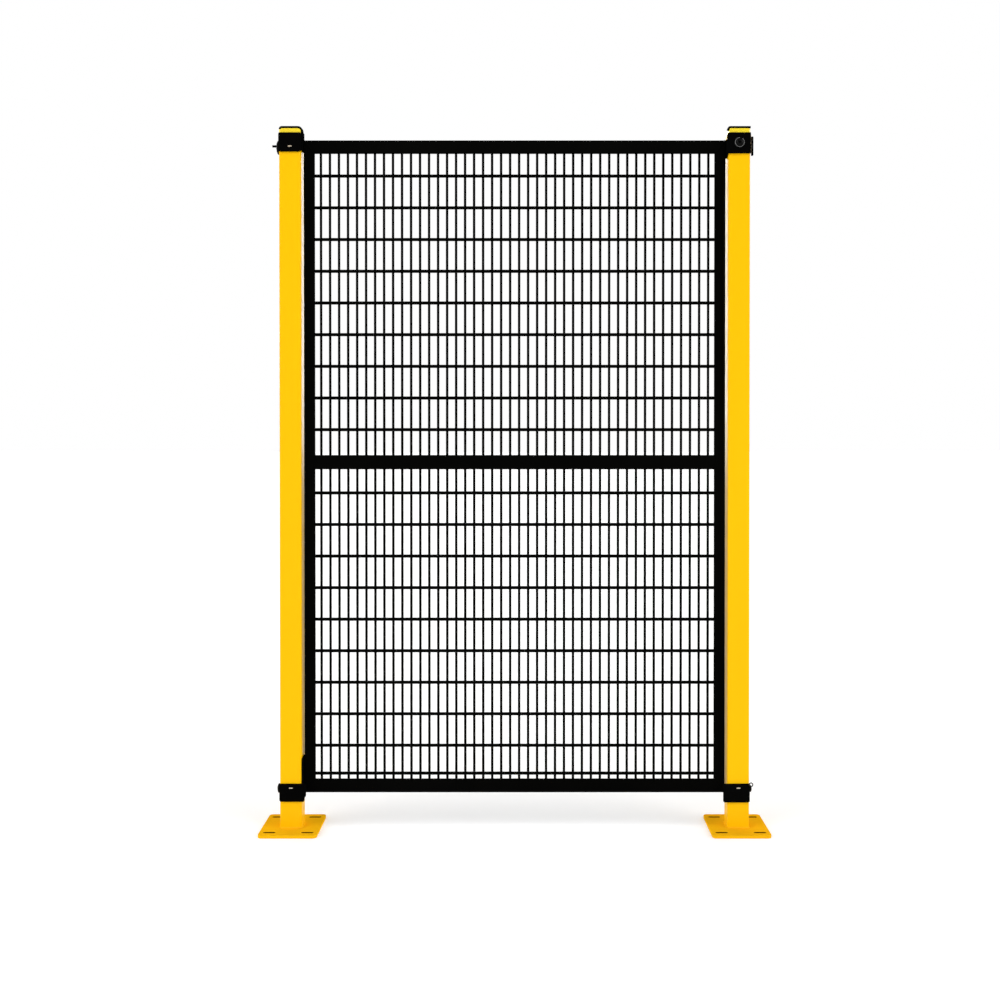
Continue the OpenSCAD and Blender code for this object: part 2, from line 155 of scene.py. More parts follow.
class Workpiece:
    """One mesh on the bench, shaped by the editing operators."""

    def __init__(self, name: str) -> None:
        """Take up the primitive that was just added.

        Args:
            name: The piece's name.
        """
        self.obj = bpy.context.object
        self.obj.name = self.obj.data.name = name
        bpy.ops.object.transform_apply(location=True, rotation=True, scale=True)

    @staticmethod
    def clear_bench() -> None:
        """Leave edit mode and let go of everything."""
        if bpy.context.object is not None and bpy.context.object.mode == "EDIT":
            bpy.ops.object.mode_set(mode="OBJECT")
        bpy.ops.object.select_all(action="DESELECT")

    @classmethod
    def block(cls, name: str, low: Vector, high: Vector) -> "Workpiece":
        """Start from a block.

        Args:
            name: The piece's name.
            low: The block's lowest corner.
            high: The block's highest corner.

        Returns:
            The new piece.
        """
        cls.clear_bench()
        bpy.ops.mesh.primitive_cube_add(size=1.0, location=(low + high) / 2)
        bpy.context.object.scale = high - low
        return cls(name)

    @classmethod
    def rod(cls, name: str, start: Vector, end: Vector, radius: float, sides: int = 32) -> "Workpiece":
        """Start from a round bar.

        Args:
            name: The piece's name.
            start: The middle of one end.
            end: The middle of the other end.
            radius: The bar's radius.
            sides: How many flats make it round.

        Returns:
            The new piece.
        """
        cls.clear_bench()
        span = end - start
        bpy.ops.mesh.primitive_cylinder_add(
            vertices=sides,
            radius=radius,
            depth=span.length,
            location=(start + end) / 2,
            rotation=span.to_track_quat("Z", "Y").to_euler(),
        )
        return cls(name)

    @classmethod
    def ball(cls, name: str, centre: Vector, radii: Vector, segments: int = 8, rings: int = 4) -> "Workpiece":
        """Start from a ball that is squeezed along the axes.

        Args:
            name: The piece's name.
            centre: The ball's middle.
            radii: Its radius along each axis.
            segments: How many flats run round it.
            rings: How many rings run from pole to pole.

        Returns:
            The new piece.
        """
        cls.clear_bench()
        bpy.ops.mesh.primitive_uv_sphere_add(segments=segments, ring_count=rings, radius=1.0, location=centre)
        bpy.context.object.scale = radii
        return cls(name)

    @classmethod
    def disc(cls, name: str, centre: Vector, axis: Vector, radius: float, sides: int = 12) -> "Workpiece":
        """Start from a flat round face.

        Args:
            name: The piece's name.
            centre: The disc's middle.
            axis: The way it looks.
            radius: Its radius.
            sides: How many edges make it round.

        Returns:
            The new piece.
        """
        cls.clear_bench()
        turn = axis.to_track_quat("Z", "Y").to_euler()
        bpy.ops.mesh.primitive_circle_add(
            vertices=sides, radius=radius, fill_type="NGON", location=centre, rotation=turn
        )
        return cls(name)

    def leave(self) -> "Workpiece":
        """Leave edit mode with only this piece selected."""
        self.clear_bench()
        self.obj.select_set(True)
        bpy.context.view_layer.objects.active = self.obj
        return self

    def enter(self) -> "Workpiece":
        """Go into edit mode on this piece."""
        if bpy.context.object is not self.obj or self.obj.mode != "EDIT":
            self.leave()
            bpy.ops.object.mode_set(mode="EDIT")
        return self

    def pick(self, what: Pick, wanted: Test) -> "Workpiece":
        """Select faces or edges by their place and direction.

        Args:
            what: Faces or edges.
            wanted: The test that a part has to pass.

        Returns:
            This piece.
        """
        self.enter()
        bpy.ops.mesh.select_mode(type=what.value)
        bpy.ops.mesh.select_all(action="DESELECT")
        mesh = bmesh.from_edit_mesh(self.obj.data)
        for part in mesh.faces if what is Pick.FACES else mesh.edges:
            if wanted(*what.measure(part)):
                part.select_set(True)
        mesh.select_flush_mode()
        bmesh.update_edit_mesh(self.obj.data)
        return self

    def pick_all(self) -> "Workpiece":
        """Select the whole mesh."""
        self.enter()
        bpy.ops.mesh.select_all(action="SELECT")
        return self

    def bevel(self, width: float, steps: int = 1) -> "Workpiece":
        """Bevel what is selected."""
        bpy.ops.mesh.bevel(offset=width, segments=steps, affect="EDGES", clamp_overlap=True)
        return self

    def extrude(self, move: Vector) -> "Workpiece":
        """Extrude what is selected."""
        bpy.ops.mesh.extrude_region_move(TRANSFORM_OT_translate={"value": move})
        return self

    def inset(self, border: float, rise: float = 0.0) -> "Workpiece":
        """Inset the selected faces by a border and lift them by a rise."""
        bpy.ops.mesh.inset(thickness=border, depth=rise, use_even_offset=True)
        return self

    def resize(self, factors: Vector, centre: Vector) -> "Workpiece":
        """Scale what is selected about a point."""
        bpy.ops.transform.resize(value=factors, center_override=centre)
        return self

    def delete_faces(self) -> "Workpiece":
        """Delete the selected faces."""
        bpy.ops.mesh.delete(type="FACE")
        return self

    def spin(self, angle: float, centre: Vector, axis: Vector, steps: int) -> "Workpiece":
        """Sweep what is selected round an axis.

        Args:
            angle: How far it turns, in degrees.
            centre: A point on the axis.
            axis: The axis.
            steps: How many steps the sweep takes.

        Returns:
            This piece.
        """
        bpy.ops.mesh.spin(steps=steps, angle=-math.radians(angle), center=centre, axis=axis)
        return self

    def cut(self, place: Vector, away: Vector, fill: bool = True) -> "Workpiece":
        """Cut the mesh at a plane and drop one side.

        Args:
            place: A point on the plane.
            away: The way to the side that is dropped.
            fill: True if the cut is closed with a face.

        Returns:
            This piece.
        """
        self.pick_all()
        bpy.ops.mesh.bisect(plane_co=place, plane_no=away, clear_outer=True, use_fill=fill)
        return self

    def heal(self, reach: float = 0.01 * MM) -> "Workpiece":
        """Merge points that lie together and turn every face outwards."""
        self.pick_all()
        bpy.ops.mesh.remove_doubles(threshold=reach)
        bpy.ops.mesh.normals_make_consistent(inside=False)
        return self

    def modify(self, kind: str, **settings: object) -> "Workpiece":
        """Add a modifier and apply it.

        Args:
            kind: The modifier's type.
            settings: Its settings.

        Returns:
            This piece.
        """
        self.leave()
        modifier = self.obj.modifiers.new(kind, kind)
        for name, value in settings.items():
            setattr(modifier, name, value)
        bpy.ops.object.modifier_apply(modifier=modifier.name)
        return self

    def wall(self, thickness: float) -> "Workpiece":
        """Give an open shell a wall that grows inwards."""
        return self.modify("SOLIDIFY", thickness=thickness, offset=-1.0, use_even_offset=True)

    def carve(self, tool: "Workpiece", keep: str = "DIFFERENCE") -> "Workpiece":
        """Combine with a tool piece, which is used up.

        Args:
            tool: The tool piece.
            keep: DIFFERENCE takes the tool away, INTERSECT keeps what both fill, UNION adds it.

        Returns:
            This piece.
        """
        tool.leave()
        self.modify("BOOLEAN", operation=keep, solver="EXACT", object=tool.obj)
        bpy.data.objects.remove(tool.obj)
        return self

    def repeat(self, count: int, step: Vector) -> "Workpiece":
        """Repeat the mesh in a row."""
        return self.modify(
            "ARRAY",
            count=count,
            use_relative_offset=False,
            use_constant_offset=True,
            constant_offset_displace=step,
        )

    def place_copies(self, places: Iterable[Matrix]) -> "Workpiece":
        """Put a copy of the mesh at every place and join them.

        Args:
            places: One matrix for each copy.

        Returns:
            This piece, which is now all of the copies.
        """
        self.leave()
        master, name = self.obj, self.obj.name
        copies = []
        for place in places:
            copy = bpy.data.objects.new(name, master.data.copy())
            copy.data.transform(place)
            bpy.context.scene.collection.objects.link(copy)
            copies.append(copy)
        bpy.data.objects.remove(master)
        self.obj = copies[0]
        self.leave()
        for copy in copies:
            copy.select_set(True)
        bpy.ops.object.join()
        self.obj.name = self.obj.data.name = name
        return self

    def join(self, *others: "Workpiece") -> "Workpiece":
        """Join other pieces into this one."""
        self.leave()
        for other in others:
            other.obj.select_set(True)
        bpy.ops.object.join()
        return self

    def round_rims(self, width: float, steps: int = 2, angle: float = 40.0) -> "Workpiece":
        """Round every sharp edge.

        Args:
            width: How far the rounding reaches from the edge.
            steps: How many facets make it.
            angle: The least angle of an edge that counts as sharp, in degrees.

        Returns:
            This piece.
        """
        return self.modify(
            "BEVEL", width=width, segments=steps, limit_method="ANGLE", angle_limit=math.radians(angle)
        )

    def smooth(self, angle: float = 40.0) -> "Workpiece":
        """Shade smooth up to an angle and keep the flats flat."""
        self.leave()
        bpy.ops.object.shade_smooth_by_angle(angle=math.radians(angle))
        return self.modify("WEIGHTED_NORMAL", keep_sharp=True)


def crown(piece: Workpiece, radius: float, rise: float, flat: float = 0.15, steps: int = 6) -> Workpiece:
    """Raise the selected round face into a crowned top.

    Args:
        piece: The piece, with its end face selected.
        radius: The face's radius.
        rise: The crown's height.
        flat: The share of the radius that stays flat in the middle.
        steps: How many rings make the crown.

    Returns:
        The piece, with the flat in the middle selected.
    """
    last_out, last_up = radius, 0.0
    for step in range(1, steps + 1):
        turn = math.radians(90.0 * step / steps)
        out = radius * (flat + (1 - flat) * math.cos(turn))
        up = rise * math.sin(turn)
        piece.inset(last_out - out, up - last_up)
        last_out, last_up = out, up
    return piece


def slot_tool(centre: Vector, length: float, width: float, depth: float, axis: Vector) -> Workpiece:
    """Make the tool that cuts a slot with round ends.

    Args:
        centre: The slot's middle.
        length: Its length along X, over its round ends.
        width: Its width.
        depth: How deep the tool cuts.
        axis: The way through the slot, Y or Z.

    Returns:
        The tool.
    """
    across = Z if axis is Y else Y
    reach = X * length / 2 + across * width / 2 + axis * depth / 2
    tool = Workpiece.block("slot_tool", centre - reach, centre + reach)
    return tool.pick(Pick.EDGES, along(axis)).bevel(0.499 * width, 8)


# Weld beads


@dataclass
class Bead:
    """A weld bead laid as a row of overlapping scales."""

    pitch: float = 1.7 * MM
    length: float = 1.6 * MM
    width: float = 2.6 * MM
    height: float = 0.9 * MM
    lean: float = 12.0

    def scale(self, name: str) -> Workpiece:
        """Model one scale at the origin, along X and proud of Z."""
        scale = Workpiece.ball(name, Vector(), Vector((self.length, self.width, self.height)), 10, 6)
        scale.cut(Z * -0.3 * self.height, -Z, fill=False)
        return scale

    def seat(self, point: Vector, run: Vector, out: Vector) -> Matrix:
        """Work out the place of one scale.

        Args:
            point: The scale's middle.
            run: The way that the bead runs.
            out: The way that the bead stands proud.

        Returns:
            The scale's matrix.
        """
        side = out.cross(run).normalized()
        turn = Matrix((run.normalized(), side, out.normalized())).transposed().to_4x4()
        return Matrix.Translation(point) @ turn @ Matrix.Rotation(math.radians(self.lean), 4, "Y")

    def line(self, start: Vector, end: Vector, out: Vector) -> Iterator[Matrix]:
        """Work out the places of the scales on a straight seam.

        Args:
            start: The seam's start.
            end: The seam's end.
            out: The way that the bead stands proud.

        Yields:
            The matrix of each scale.
        """
        count = max(1, round((end - start).length / self.pitch))
        for index in range(count + 1):
            yield self.seat(start.lerp(end, index / count), end - start, out)

    def ring(self, centre: Vector, half: float, corner: float, up: float) -> Iterator[Matrix]:
        """Work out the places of the scales round a square tube's foot.

        Args:
            centre: The middle of the ring.
            half: Half of the ring's width.
            corner: The radius of its corners.
            up: How much the bead leans up, against out.

        Yields:
            The matrix of each scale.
        """
        straight = 2 * (half - corner)
        for quarter in range(4):
            turn = Matrix.Rotation(quarter * math.pi / 2, 3, "Z")
            count = round(straight / self.pitch)
            for index in range(count):
                point = Vector((half, -straight / 2 + straight * index / count, 0.0))
                out = Vector((1.0, 0.0, up))
                yield self.seat(centre + turn @ point, turn @ Y, turn @ out)
            count = round(corner * math.pi / 2 / self.pitch)
            for index in range(count):
                swing = Matrix.Rotation(index / count * math.pi / 2, 3, "Z")
                point = Vector((straight / 2, straight / 2, 0.0)) + swing @ Vector((corner, 0.0, 0.0))
                out = swing @ Vector((1.0, 0.0, up))
                yield self.seat(centre + turn @ point, turn @ swing @ Y, turn @ out)


# Finishes


class Signal:
    """A number on a socket, which takes Python's own arithmetic."""

    def __init__(self, desk: "NodeDesk", socket: bpy.types.NodeSocket) -> None:
        """Wrap a socket of a desk's tree."""
        self.desk = desk
        self.socket = socket

    def math(self, operation: str, first: "Signal | float", second: "Signal | float") -> "Signal":
        """Add a Math node.

        Args:
            operation: The node's operation.
            first: Its first value.
            second: Its second value.

        Returns:
            The result.
        """
        made = self.desk.node("ShaderNodeMath", {"operation": operation}, {0: first, 1: second})
        return Signal(self.desk, made.outputs[0])

    def __add__(self, other: "Signal | float") -> "Signal":
        """Add."""
        return self.math("ADD", self, other)

    def __radd__(self, other: float) -> "Signal":
        """Add to a number."""
        return self.math("ADD", other, self)

    def __sub__(self, other: "Signal | float") -> "Signal":
        """Subtract."""
        return self.math("SUBTRACT", self, other)

    def __rsub__(self, other: float) -> "Signal":
        """Subtract from a number."""
        return self.math("SUBTRACT", other, self)

    def __mul__(self, other: "Signal | float") -> "Signal":
        """Multiply."""
        return self.math("MULTIPLY", self, other)

    def __rmul__(self, other: float) -> "Signal":
        """Multiply a number."""
        return self.math("MULTIPLY", other, self)

    def absolute(self) -> "Signal":
        """Drop the sign."""
        return self.math("ABSOLUTE", self, 0.0)

    def at_least(self, other: "Signal | float") -> "Signal":
        """Take the larger value."""
        return self.math("MAXIMUM", self, other)


class NodeDesk:
    """Builds the nodes of one material or world."""

    def __init__(self, tree: bpy.types.NodeTree) -> None:
        """Start on an empty tree."""
        tree.nodes.clear()
        self.tree = tree

    def node(self, kind: str, settings: dict | None = None, sockets: dict | None = None) -> bpy.types.Node:
        """Add a node.

        Args:
            kind: The node's type.
            settings: Its settings, which are made first.
            sockets: A value, a socket or a signal for each named or numbered input.

        Returns:
            The node.
        """
        made = self.tree.nodes.new(kind)
        for name, value in (settings or {}).items():
            setattr(made, name, value)
        for name, value in (sockets or {}).items():
            if isinstance(value, Signal):
                value = value.socket
            if isinstance(value, bpy.types.NodeSocket):
                self.tree.links.new(value, made.inputs[name])
            else:
                made.inputs[name].default_value = value
        return made

    def place(self, centre: Vector) -> bpy.types.NodeSocket:
        """Read Object coordinates, centred on a point."""
        coordinates = self.node("ShaderNodeTexCoord").outputs["Object"]
        mapped = self.node("ShaderNodeMapping", None, {"Vector": coordinates, "Location": -centre})
        return mapped.outputs["Vector"]

    def noise(self, place: bpy.types.NodeSocket, scale: float, detail: float = 2.0) -> Signal:
        """Add a noise pattern.

        Args:
            place: The coordinates.
            scale: Its waves for each metre.
            detail: How many finer waves are added.

        Returns:
            The pattern, from 0 to 1.
        """
        made = self.node("ShaderNodeTexNoise", None, {"Vector": place, "Scale": scale, "Detail": detail})
        return Signal(self, made.outputs["Fac"])

    def window(self, value: Signal, low: float, high: float) -> Signal:
        """Stretch the part of a signal between two levels to 0 and 1, with soft ends."""
        made = self.node(
            "ShaderNodeMapRange",
            {"interpolation_type": "SMOOTHSTEP"},
            {"Value": value, "From Min": low, "From Max": high},
        )
        return Signal(self, made.outputs["Result"])

    def mix(self, share: Signal, first: object, second: object) -> bpy.types.NodeSocket:
        """Mix two colours.

        Args:
            share: The share of the second colour.
            first: The first colour, a value or a socket.
            second: The second colour, a value or a socket.

        Returns:
            The mixed colour.
        """
        made = self.node("ShaderNodeMix", {"data_type": "RGBA"}, {0: share, 6: first, 7: second})
        return made.outputs[2]

    def rims(self, reach: float) -> Signal:
        """Find convex and concave rims.

        Args:
            reach: How far the mask reaches from an edge.

        Returns:
            A mask, 0 on the flats and more on the rims.
        """
        rounded = self.node("ShaderNodeBevel", {"samples": 6}, {"Radius": reach}).outputs["Normal"]
        flat = self.node("ShaderNodeNewGeometry").outputs["Normal"]
        dot = self.node("ShaderNodeVectorMath", {"operation": "DOT_PRODUCT"}, {0: rounded, 1: flat})
        return 1 - Signal(self, dot.outputs["Value"])

    def bump(self, height: Signal, depth: float, strength: float) -> bpy.types.NodeSocket:
        """Turn a height pattern into a normal."""
        sockets = {"Height": height, "Distance": depth, "Strength": strength}
        return self.node("ShaderNodeBump", None, sockets).outputs["Normal"]


@dataclass(frozen=True)
class PaintedSlotShade:
    """Painted shade: darker colour on the walls of the foot plates' slots, where shade falls."""

    spread: float
    offset: Vector
    half: Vector
    top: float
    # The painted shade's dark brown tone.
    tone: Colour = (0.055, 0.022, 0.001, 1.0)
    softness: float = 0.6 * MM

    def share(self, desk: "NodeDesk", place: bpy.types.NodeSocket) -> Signal:
        """Find the slots' walls.

        Args:
            desk: The material's desk.
            place: The centred coordinates.

        Returns:
            A mask, 1 on the walls and 0 elsewhere.
        """
        split = desk.node("ShaderNodeSeparateXYZ", None, {"Vector": place})
        x, y, z = (Signal(desk, output) for output in split.outputs)
        across = ((x.absolute() - self.spread).absolute() - self.offset.x).absolute()
        deep = (y.absolute() - self.offset.y).absolute()
        inside = 1 - desk.window(across, self.half.x, self.half.x + self.softness)
        inside = inside * (1 - desk.window(deep, self.half.y, self.half.y + self.softness))
        return inside * (1 - desk.window(z, self.top - self.softness, self.top - 0.1 * MM))


@dataclass(frozen=True)
class PowderCoat:
    """A baked powder coat with slow colour drift, orange peel and a painted highlight: a lighter rim tone on
    its edges.
    """

    name: str
    tone: Colour
    drift: Colour
    # The painted highlight's tone, which the edges are lightened towards.
    rim: Colour
    roughness: float
    specular: float
    peel: float = 0.25
    peel_scale: float = 420.0
    # The painted shade on the foot plates' slot walls, if any.
    slot_shade: PaintedSlotShade | None = None

    def make(self, centre: Vector) -> bpy.types.Material:
        """Make the material.

        Args:
            centre: The middle of the object, where its patterns start.

        Returns:
            The material.
        """
        material = bpy.data.materials.new(self.name)
        material.use_nodes = True
        desk = NodeDesk(material.node_tree)
        place = desk.place(centre)
        slow = desk.window(desk.noise(place, 2.3, 3.0), 0.35, 0.68)
        cloudy = desk.window(desk.noise(place, 38.0, 4.0), 0.4, 0.75)
        orange_peel = desk.noise(place, self.peel_scale, 2.0)
        grain = desk.noise(place, 2600.0, 1.0)
        # Painted highlight: the rims mask lightens the edges towards the rim tone.
        rims = desk.window(desk.rims(1.2 * MM), 0.02, 0.3)
        drifted = desk.mix(0.75 * slow + 0.2 * cloudy, self.tone, self.drift)
        colour = desk.mix(rims * (0.45 + 0.4 * cloudy), drifted, self.rim)
        # Painted shade: the slots' walls are darkened towards a dark brown.
        if self.slot_shade:
            colour = desk.mix(self.slot_shade.share(desk, place), colour, self.slot_shade.tone)
        rough = self.roughness + 0.07 * (cloudy - 0.5) + 0.05 * (grain - 0.5) - 0.04 * rims
        normal = desk.bump(orange_peel + 0.18 * grain, 0.16 * MM, self.peel)
        sockets = {
            "Base Color": colour,
            "Roughness": rough,
            "Normal": normal,
            "Specular IOR Level": self.specular,
        }
        shader = desk.node("ShaderNodeBsdfPrincipled", None, sockets)
        desk.node("ShaderNodeOutputMaterial", None, {"Surface": shader.outputs[0]})
        return material


@dataclass(frozen=True)
class MouldedPlastic:
    """A moulded plastic with a fine spark-eroded grain and a faint flow pattern."""

    name: str
    tone: Colour
    flow: Colour
    roughness: float

    def make(self, centre: Vector) -> bpy.types.Material:
        """Make the material.

        Args:
            centre: The middle of the object, where its patterns start.

        Returns:
            The material.
        """
        material = bpy.data.materials.new(self.name)
        material.use_nodes = True
        desk = NodeDesk(material.node_tree)
        place = desk.place(centre)
        swirl = desk.window(desk.noise(place, 55.0, 5.0), 0.35, 0.7)
        grain = desk.noise(place, 1700.0, 3.0)
        colour = desk.mix(0.8 * swirl, self.tone, self.flow)
        rough = self.roughness + 0.08 * (grain - 0.5) + 0.06 * (swirl - 0.5)
        sockets = {"Base Color": colour, "Roughness": rough, "Normal": desk.bump(grain, 0.08 * MM, 0.3)}
        shader = desk.node("ShaderNodeBsdfPrincipled", None, sockets)
        desk.node("ShaderNodeOutputMaterial", None, {"Surface": shader.outputs[0]})
        return material


@dataclass(frozen=True)
class PlatedSteel:
    """A zinc plated steel with fine scratches along X and cloudy tarnish."""

    name: str
    tone: Colour
    tarnish: Colour
    roughness: float

    def make(self, centre: Vector) -> bpy.types.Material:
        """Make the material.

        Args:
            centre: The middle of the object, where its patterns start.

        Returns:
            The material.
        """
        material = bpy.data.materials.new(self.name)
        material.use_nodes = True
        desk = NodeDesk(material.node_tree)
        coordinates = desk.node("ShaderNodeTexCoord").outputs["Object"]
        sockets = {"Vector": coordinates, "Location": -centre, "Scale": (0.06, 1.0, 1.0)}
        scratched = desk.noise(desk.node("ShaderNodeMapping", None, sockets).outputs["Vector"], 5200.0, 3.0)
        cloudy = desk.window(desk.noise(desk.place(centre), 260.0, 4.0), 0.38, 0.7)
        colour = desk.mix(cloudy, self.tone, self.tarnish)
        rough = self.roughness + 0.12 * (scratched - 0.5) + 0.1 * cloudy
        sockets = {
            "Base Color": colour,
            "Roughness": rough,
            "Metallic": 0.15 + 0.2 * (1 - cloudy),
            "Normal": desk.bump(scratched, 0.03 * MM, 0.4),
        }
        shader = desk.node("ShaderNodeBsdfPrincipled", None, sockets)
        desk.node("ShaderNodeOutputMaterial", None, {"Surface": shader.outputs[0]})
        return material


class Finishes:
    """The object's finishes, each made once."""

    def __init__(self, centre: Vector) -> None:
        """Make every finish.

        Args:
            centre: The middle of the object.
        """
        # Each coat's rim tone is a painted highlight on its edges.
        signal_yellow = PowderCoat(
            "signal_yellow_coat",
            tone=(0.93, 0.505, 0.002, 1.0),
            drift=(0.93, 0.515, 0.002, 1.0),
            rim=(1.0, 0.70, 0.03, 1.0),
            roughness=0.34,
            specular=0.05,
        )
        # Painted shade: the foot plates take a darker, more orange copy of the posts' yellow, standing in for
        # the shade on their upward faces.
        foot_yellow = PowderCoat(
            "foot_yellow_shaded_coat",
            tone=(0.90, 0.47, 0.006, 1.0),
            drift=(0.82, 0.40, 0.007, 1.0),
            rim=(1.0, 0.64, 0.05, 1.0),
            roughness=0.40,
            specular=0.0,
            peel=0.35,
            slot_shade=self.painted_slot_shade(centre),
        )
        cap_yellow = MouldedPlastic(
            "cap_yellow_plastic",
            tone=(0.90, 0.70, 0.02, 1.0),
            flow=(0.90, 0.63, 0.015, 1.0),
            roughness=0.34,
        )
        frame_black = PowderCoat(
            "frame_black_coat",
            tone=(0.0016, 0.0016, 0.0014, 1.0),
            drift=(0.0024, 0.0024, 0.0022, 1.0),
            rim=(0.004, 0.004, 0.004, 1.0),
            roughness=0.42,
            specular=0.0,
        )
        mesh_black = PowderCoat(
            "mesh_black_coat",
            tone=(0.0015, 0.0015, 0.0013, 1.0),
            drift=(0.0023, 0.0023, 0.0021, 1.0),
            rim=(0.003, 0.003, 0.003, 1.0),
            roughness=0.46,
            specular=0.0,
            peel_scale=600.0,
        )
        bracket_black = PowderCoat(
            "bracket_black_coat",
            tone=(0.0015, 0.0015, 0.0015, 1.0),
            drift=(0.0025, 0.0025, 0.0025, 1.0),
            rim=(0.006, 0.006, 0.006, 1.0),
            roughness=0.38,
            specular=0.0,
            peel=0.3,
        )
        fastener_black = PowderCoat(
            "fastener_black_coat",
            tone=(0.0022, 0.0022, 0.0022, 1.0),
            drift=(0.0035, 0.0034, 0.0032, 1.0),
            rim=(0.02, 0.02, 0.02, 1.0),
            roughness=0.32,
            specular=0.08,
            peel=0.2,
            peel_scale=900.0,
        )
        # Painted highlight: a grey ring tone that stands in for the light caught on the bolt's washer rim.
        ring_highlight = PowderCoat(
            "painted_ring_highlight",
            tone=(0.13, 0.13, 0.128, 1.0),
            drift=(0.07, 0.07, 0.07, 1.0),
            rim=(0.20, 0.20, 0.20, 1.0),
            roughness=0.4,
            specular=0.5,
            peel=0.1,
            peel_scale=900.0,
        )
        # The plated tone is the keys' and the spacer's steel; on the slot keys it also stands in for the
        # glint in each slot, a painted highlight.
        plated = PlatedSteel(
            "plated_key_steel",
            tone=(0.93, 0.84, 0.66, 1.0),
            tarnish=(0.80, 0.62, 0.40, 1.0),
            roughness=0.4,
        )
        self.by_slot = {
            Slot.POST: signal_yellow.make(centre),
            Slot.FOOT: foot_yellow.make(centre),
            Slot.CAP: cap_yellow.make(centre),
            Slot.FRAME: frame_black.make(centre),
            Slot.MESH: mesh_black.make(centre),
            Slot.BRACKET: bracket_black.make(centre),
            Slot.FASTENER: fastener_black.make(centre),
        }
        self.plated = plated.make(centre)
        self.ring_highlight = ring_highlight.make(centre)

    @staticmethod
    def painted_slot_shade(centre: Vector) -> PaintedSlotShade:
        """Place the slots' painted shade from the foot plate's box."""
        low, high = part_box("right_foot_plate")
        middle = (low + high) / 2
        margin = 0.2 * MM
        half = Vector((FOOT_SLOT_LENGTH / 2 + margin, FOOT_SLOT_WIDTH / 2 + margin, 0.0))
        return PaintedSlotShade(middle.x - centre.x, FOOT_SLOT_SPAN / 2, half, high.z - centre.z)


# Sub-assemblies


@dataclass
class Assembly:
    """A group of pieces that share their finishes."""

    finishes: Finishes

    def dress(
        self, piece: Workpiece, slot: Slot, *nodes: str, material: bpy.types.Material | None = None
    ) -> Workpiece:
        """Give a finished piece its material and its place in the frame.

        Args:
            piece: The piece.
            slot: The record's slot that it takes its finish from.
            nodes: The CAD nodes that it stands for.
            material: Its material, where that isn't the slot's own.

        Returns:
            The piece.
        """
        piece.leave()
        piece.obj.data.materials.clear()
        piece.obj.data.materials.append(material or self.finishes.by_slot[slot])
        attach(piece.obj, "root")
        if nodes:
            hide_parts(*nodes)
        return piece

    def build(self) -> Iterator[Workpiece]:
        """Build the pieces one by one."""
        raise NotImplementedError


@dataclass
class FloorPost(Assembly):
    """A square post welded to a slotted foot plate and closed with a cap."""

    side: Side
    wall: float = 2.5 * MM
    corner: float = 5.0 * MM
    plate_corner: float = 12.0 * MM
    shoulder: float = 8.2 * MM
    notch_run: float = 5.8 * MM
    notch_drop: float = 2.5 * MM
    fold_run: float = 3.0 * MM
    fold_slope: float = 68.0

    def node(self, part: str) -> str:
        """Name one of this post's CAD nodes."""
        return f"{self.side.value}_{part}"

    def tube(self) -> Workpiece:
        """Make the post's tube."""
        low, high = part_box(self.node("post"))
        tube = Workpiece.block(self.node("post_tube"), low, high)
        tube.pick(Pick.EDGES, along(Z)).bevel(self.corner, 8)
        tube.pick(Pick.FACES, lambda place, way: abs(way.z) > 0.9).delete_faces()
        return tube.wall(self.wall).smooth()

    def foot_plate(self) -> Workpiece:
        """Make the foot plate with its four slots."""
        low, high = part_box(self.node("foot_plate"))
        middle = (low + high) / 2
        plate = Workpiece.block(self.node("base_plate"), low, high)
        plate.pick(Pick.EDGES, along(Z)).bevel(self.plate_corner, 8)
        for across in (-0.5, 0.5):
            for deep in (-0.5, 0.5):
                centre = middle + Vector((across * FOOT_SLOT_SPAN.x, deep * FOOT_SLOT_SPAN.y, 0.0))
                plate.carve(slot_tool(centre, FOOT_SLOT_LENGTH, FOOT_SLOT_WIDTH, 0.05, Z))
        return plate.round_rims(0.9 * MM, 3).smooth()

    def foot_bead(self) -> Workpiece:
        """Lay the weld bead round the post's foot."""
        low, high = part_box(self.node("foot_weld"))
        post_low, post_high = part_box(self.node("post"))
        leg = high.z - low.z
        half = (post_high.x - post_low.x) / 2 + 0.25 * leg
        centre = Vector(((low.x + high.x) / 2, 0.0, low.z + 0.25 * leg))
        bead = Bead(pitch=1.9 * MM, length=1.7 * MM, width=0.85 * leg, height=0.55 * leg)
        piece = bead.scale(self.node("foot_bead"))
        return piece.place_copies(bead.ring(centre, half, self.corner, 0.9)).smooth(60.0)

    def cap(self) -> Workpiece:
        """Make the closed cap, with the shoulder or slope that its strap needs."""
        low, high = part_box(self.node("cap"))
        cap = Workpiece.block(self.node("post_cap"), low, high)
        if self.side is Side.LEFT:
            edge = both(along(Y), at(high, x=True, z=True))
            cap.pick(Pick.EDGES, edge).bevel(self.shoulder, 8)
            corners = both(along(Z), lambda place, way: abs(place.x - low.x) < 0.1 * MM)
            cap.pick(Pick.EDGES, corners).bevel(self.corner, 6)
            notch_low = Vector((low.x - 5 * MM, low.y - 5 * MM, high.z - self.notch_drop))
            notch_high = Vector((low.x + self.notch_run, high.y + 5 * MM, high.z + 5 * MM))
            cap.leave().carve(Workpiece.block("notch_tool", notch_low, notch_high))
        else:
            slope = math.radians(self.fold_slope)
            away = Vector((-math.sin(slope), 0.0, math.cos(slope)))
            cap.cut(Vector((low.x + self.fold_run, 0.0, high.z)), away)
            corners = both(along(Z), lambda place, way: abs(place.x - high.x) < 0.1 * MM)
            cap.pick(Pick.EDGES, corners).bevel(self.corner, 6)
        return cap.round_rims(1.0 * MM, 3, 35.0).smooth()

    def build(self) -> Iterator[Workpiece]:
        """Build the post's pieces."""
        yield self.dress(self.tube(), Slot.POST, self.node("post"))
        yield self.dress(self.foot_plate(), Slot.FOOT, self.node("foot_plate"))
        yield self.dress(self.foot_bead(), Slot.FOOT, self.node("foot_weld"))
        yield self.dress(self.cap(), Slot.CAP, self.node("cap"))


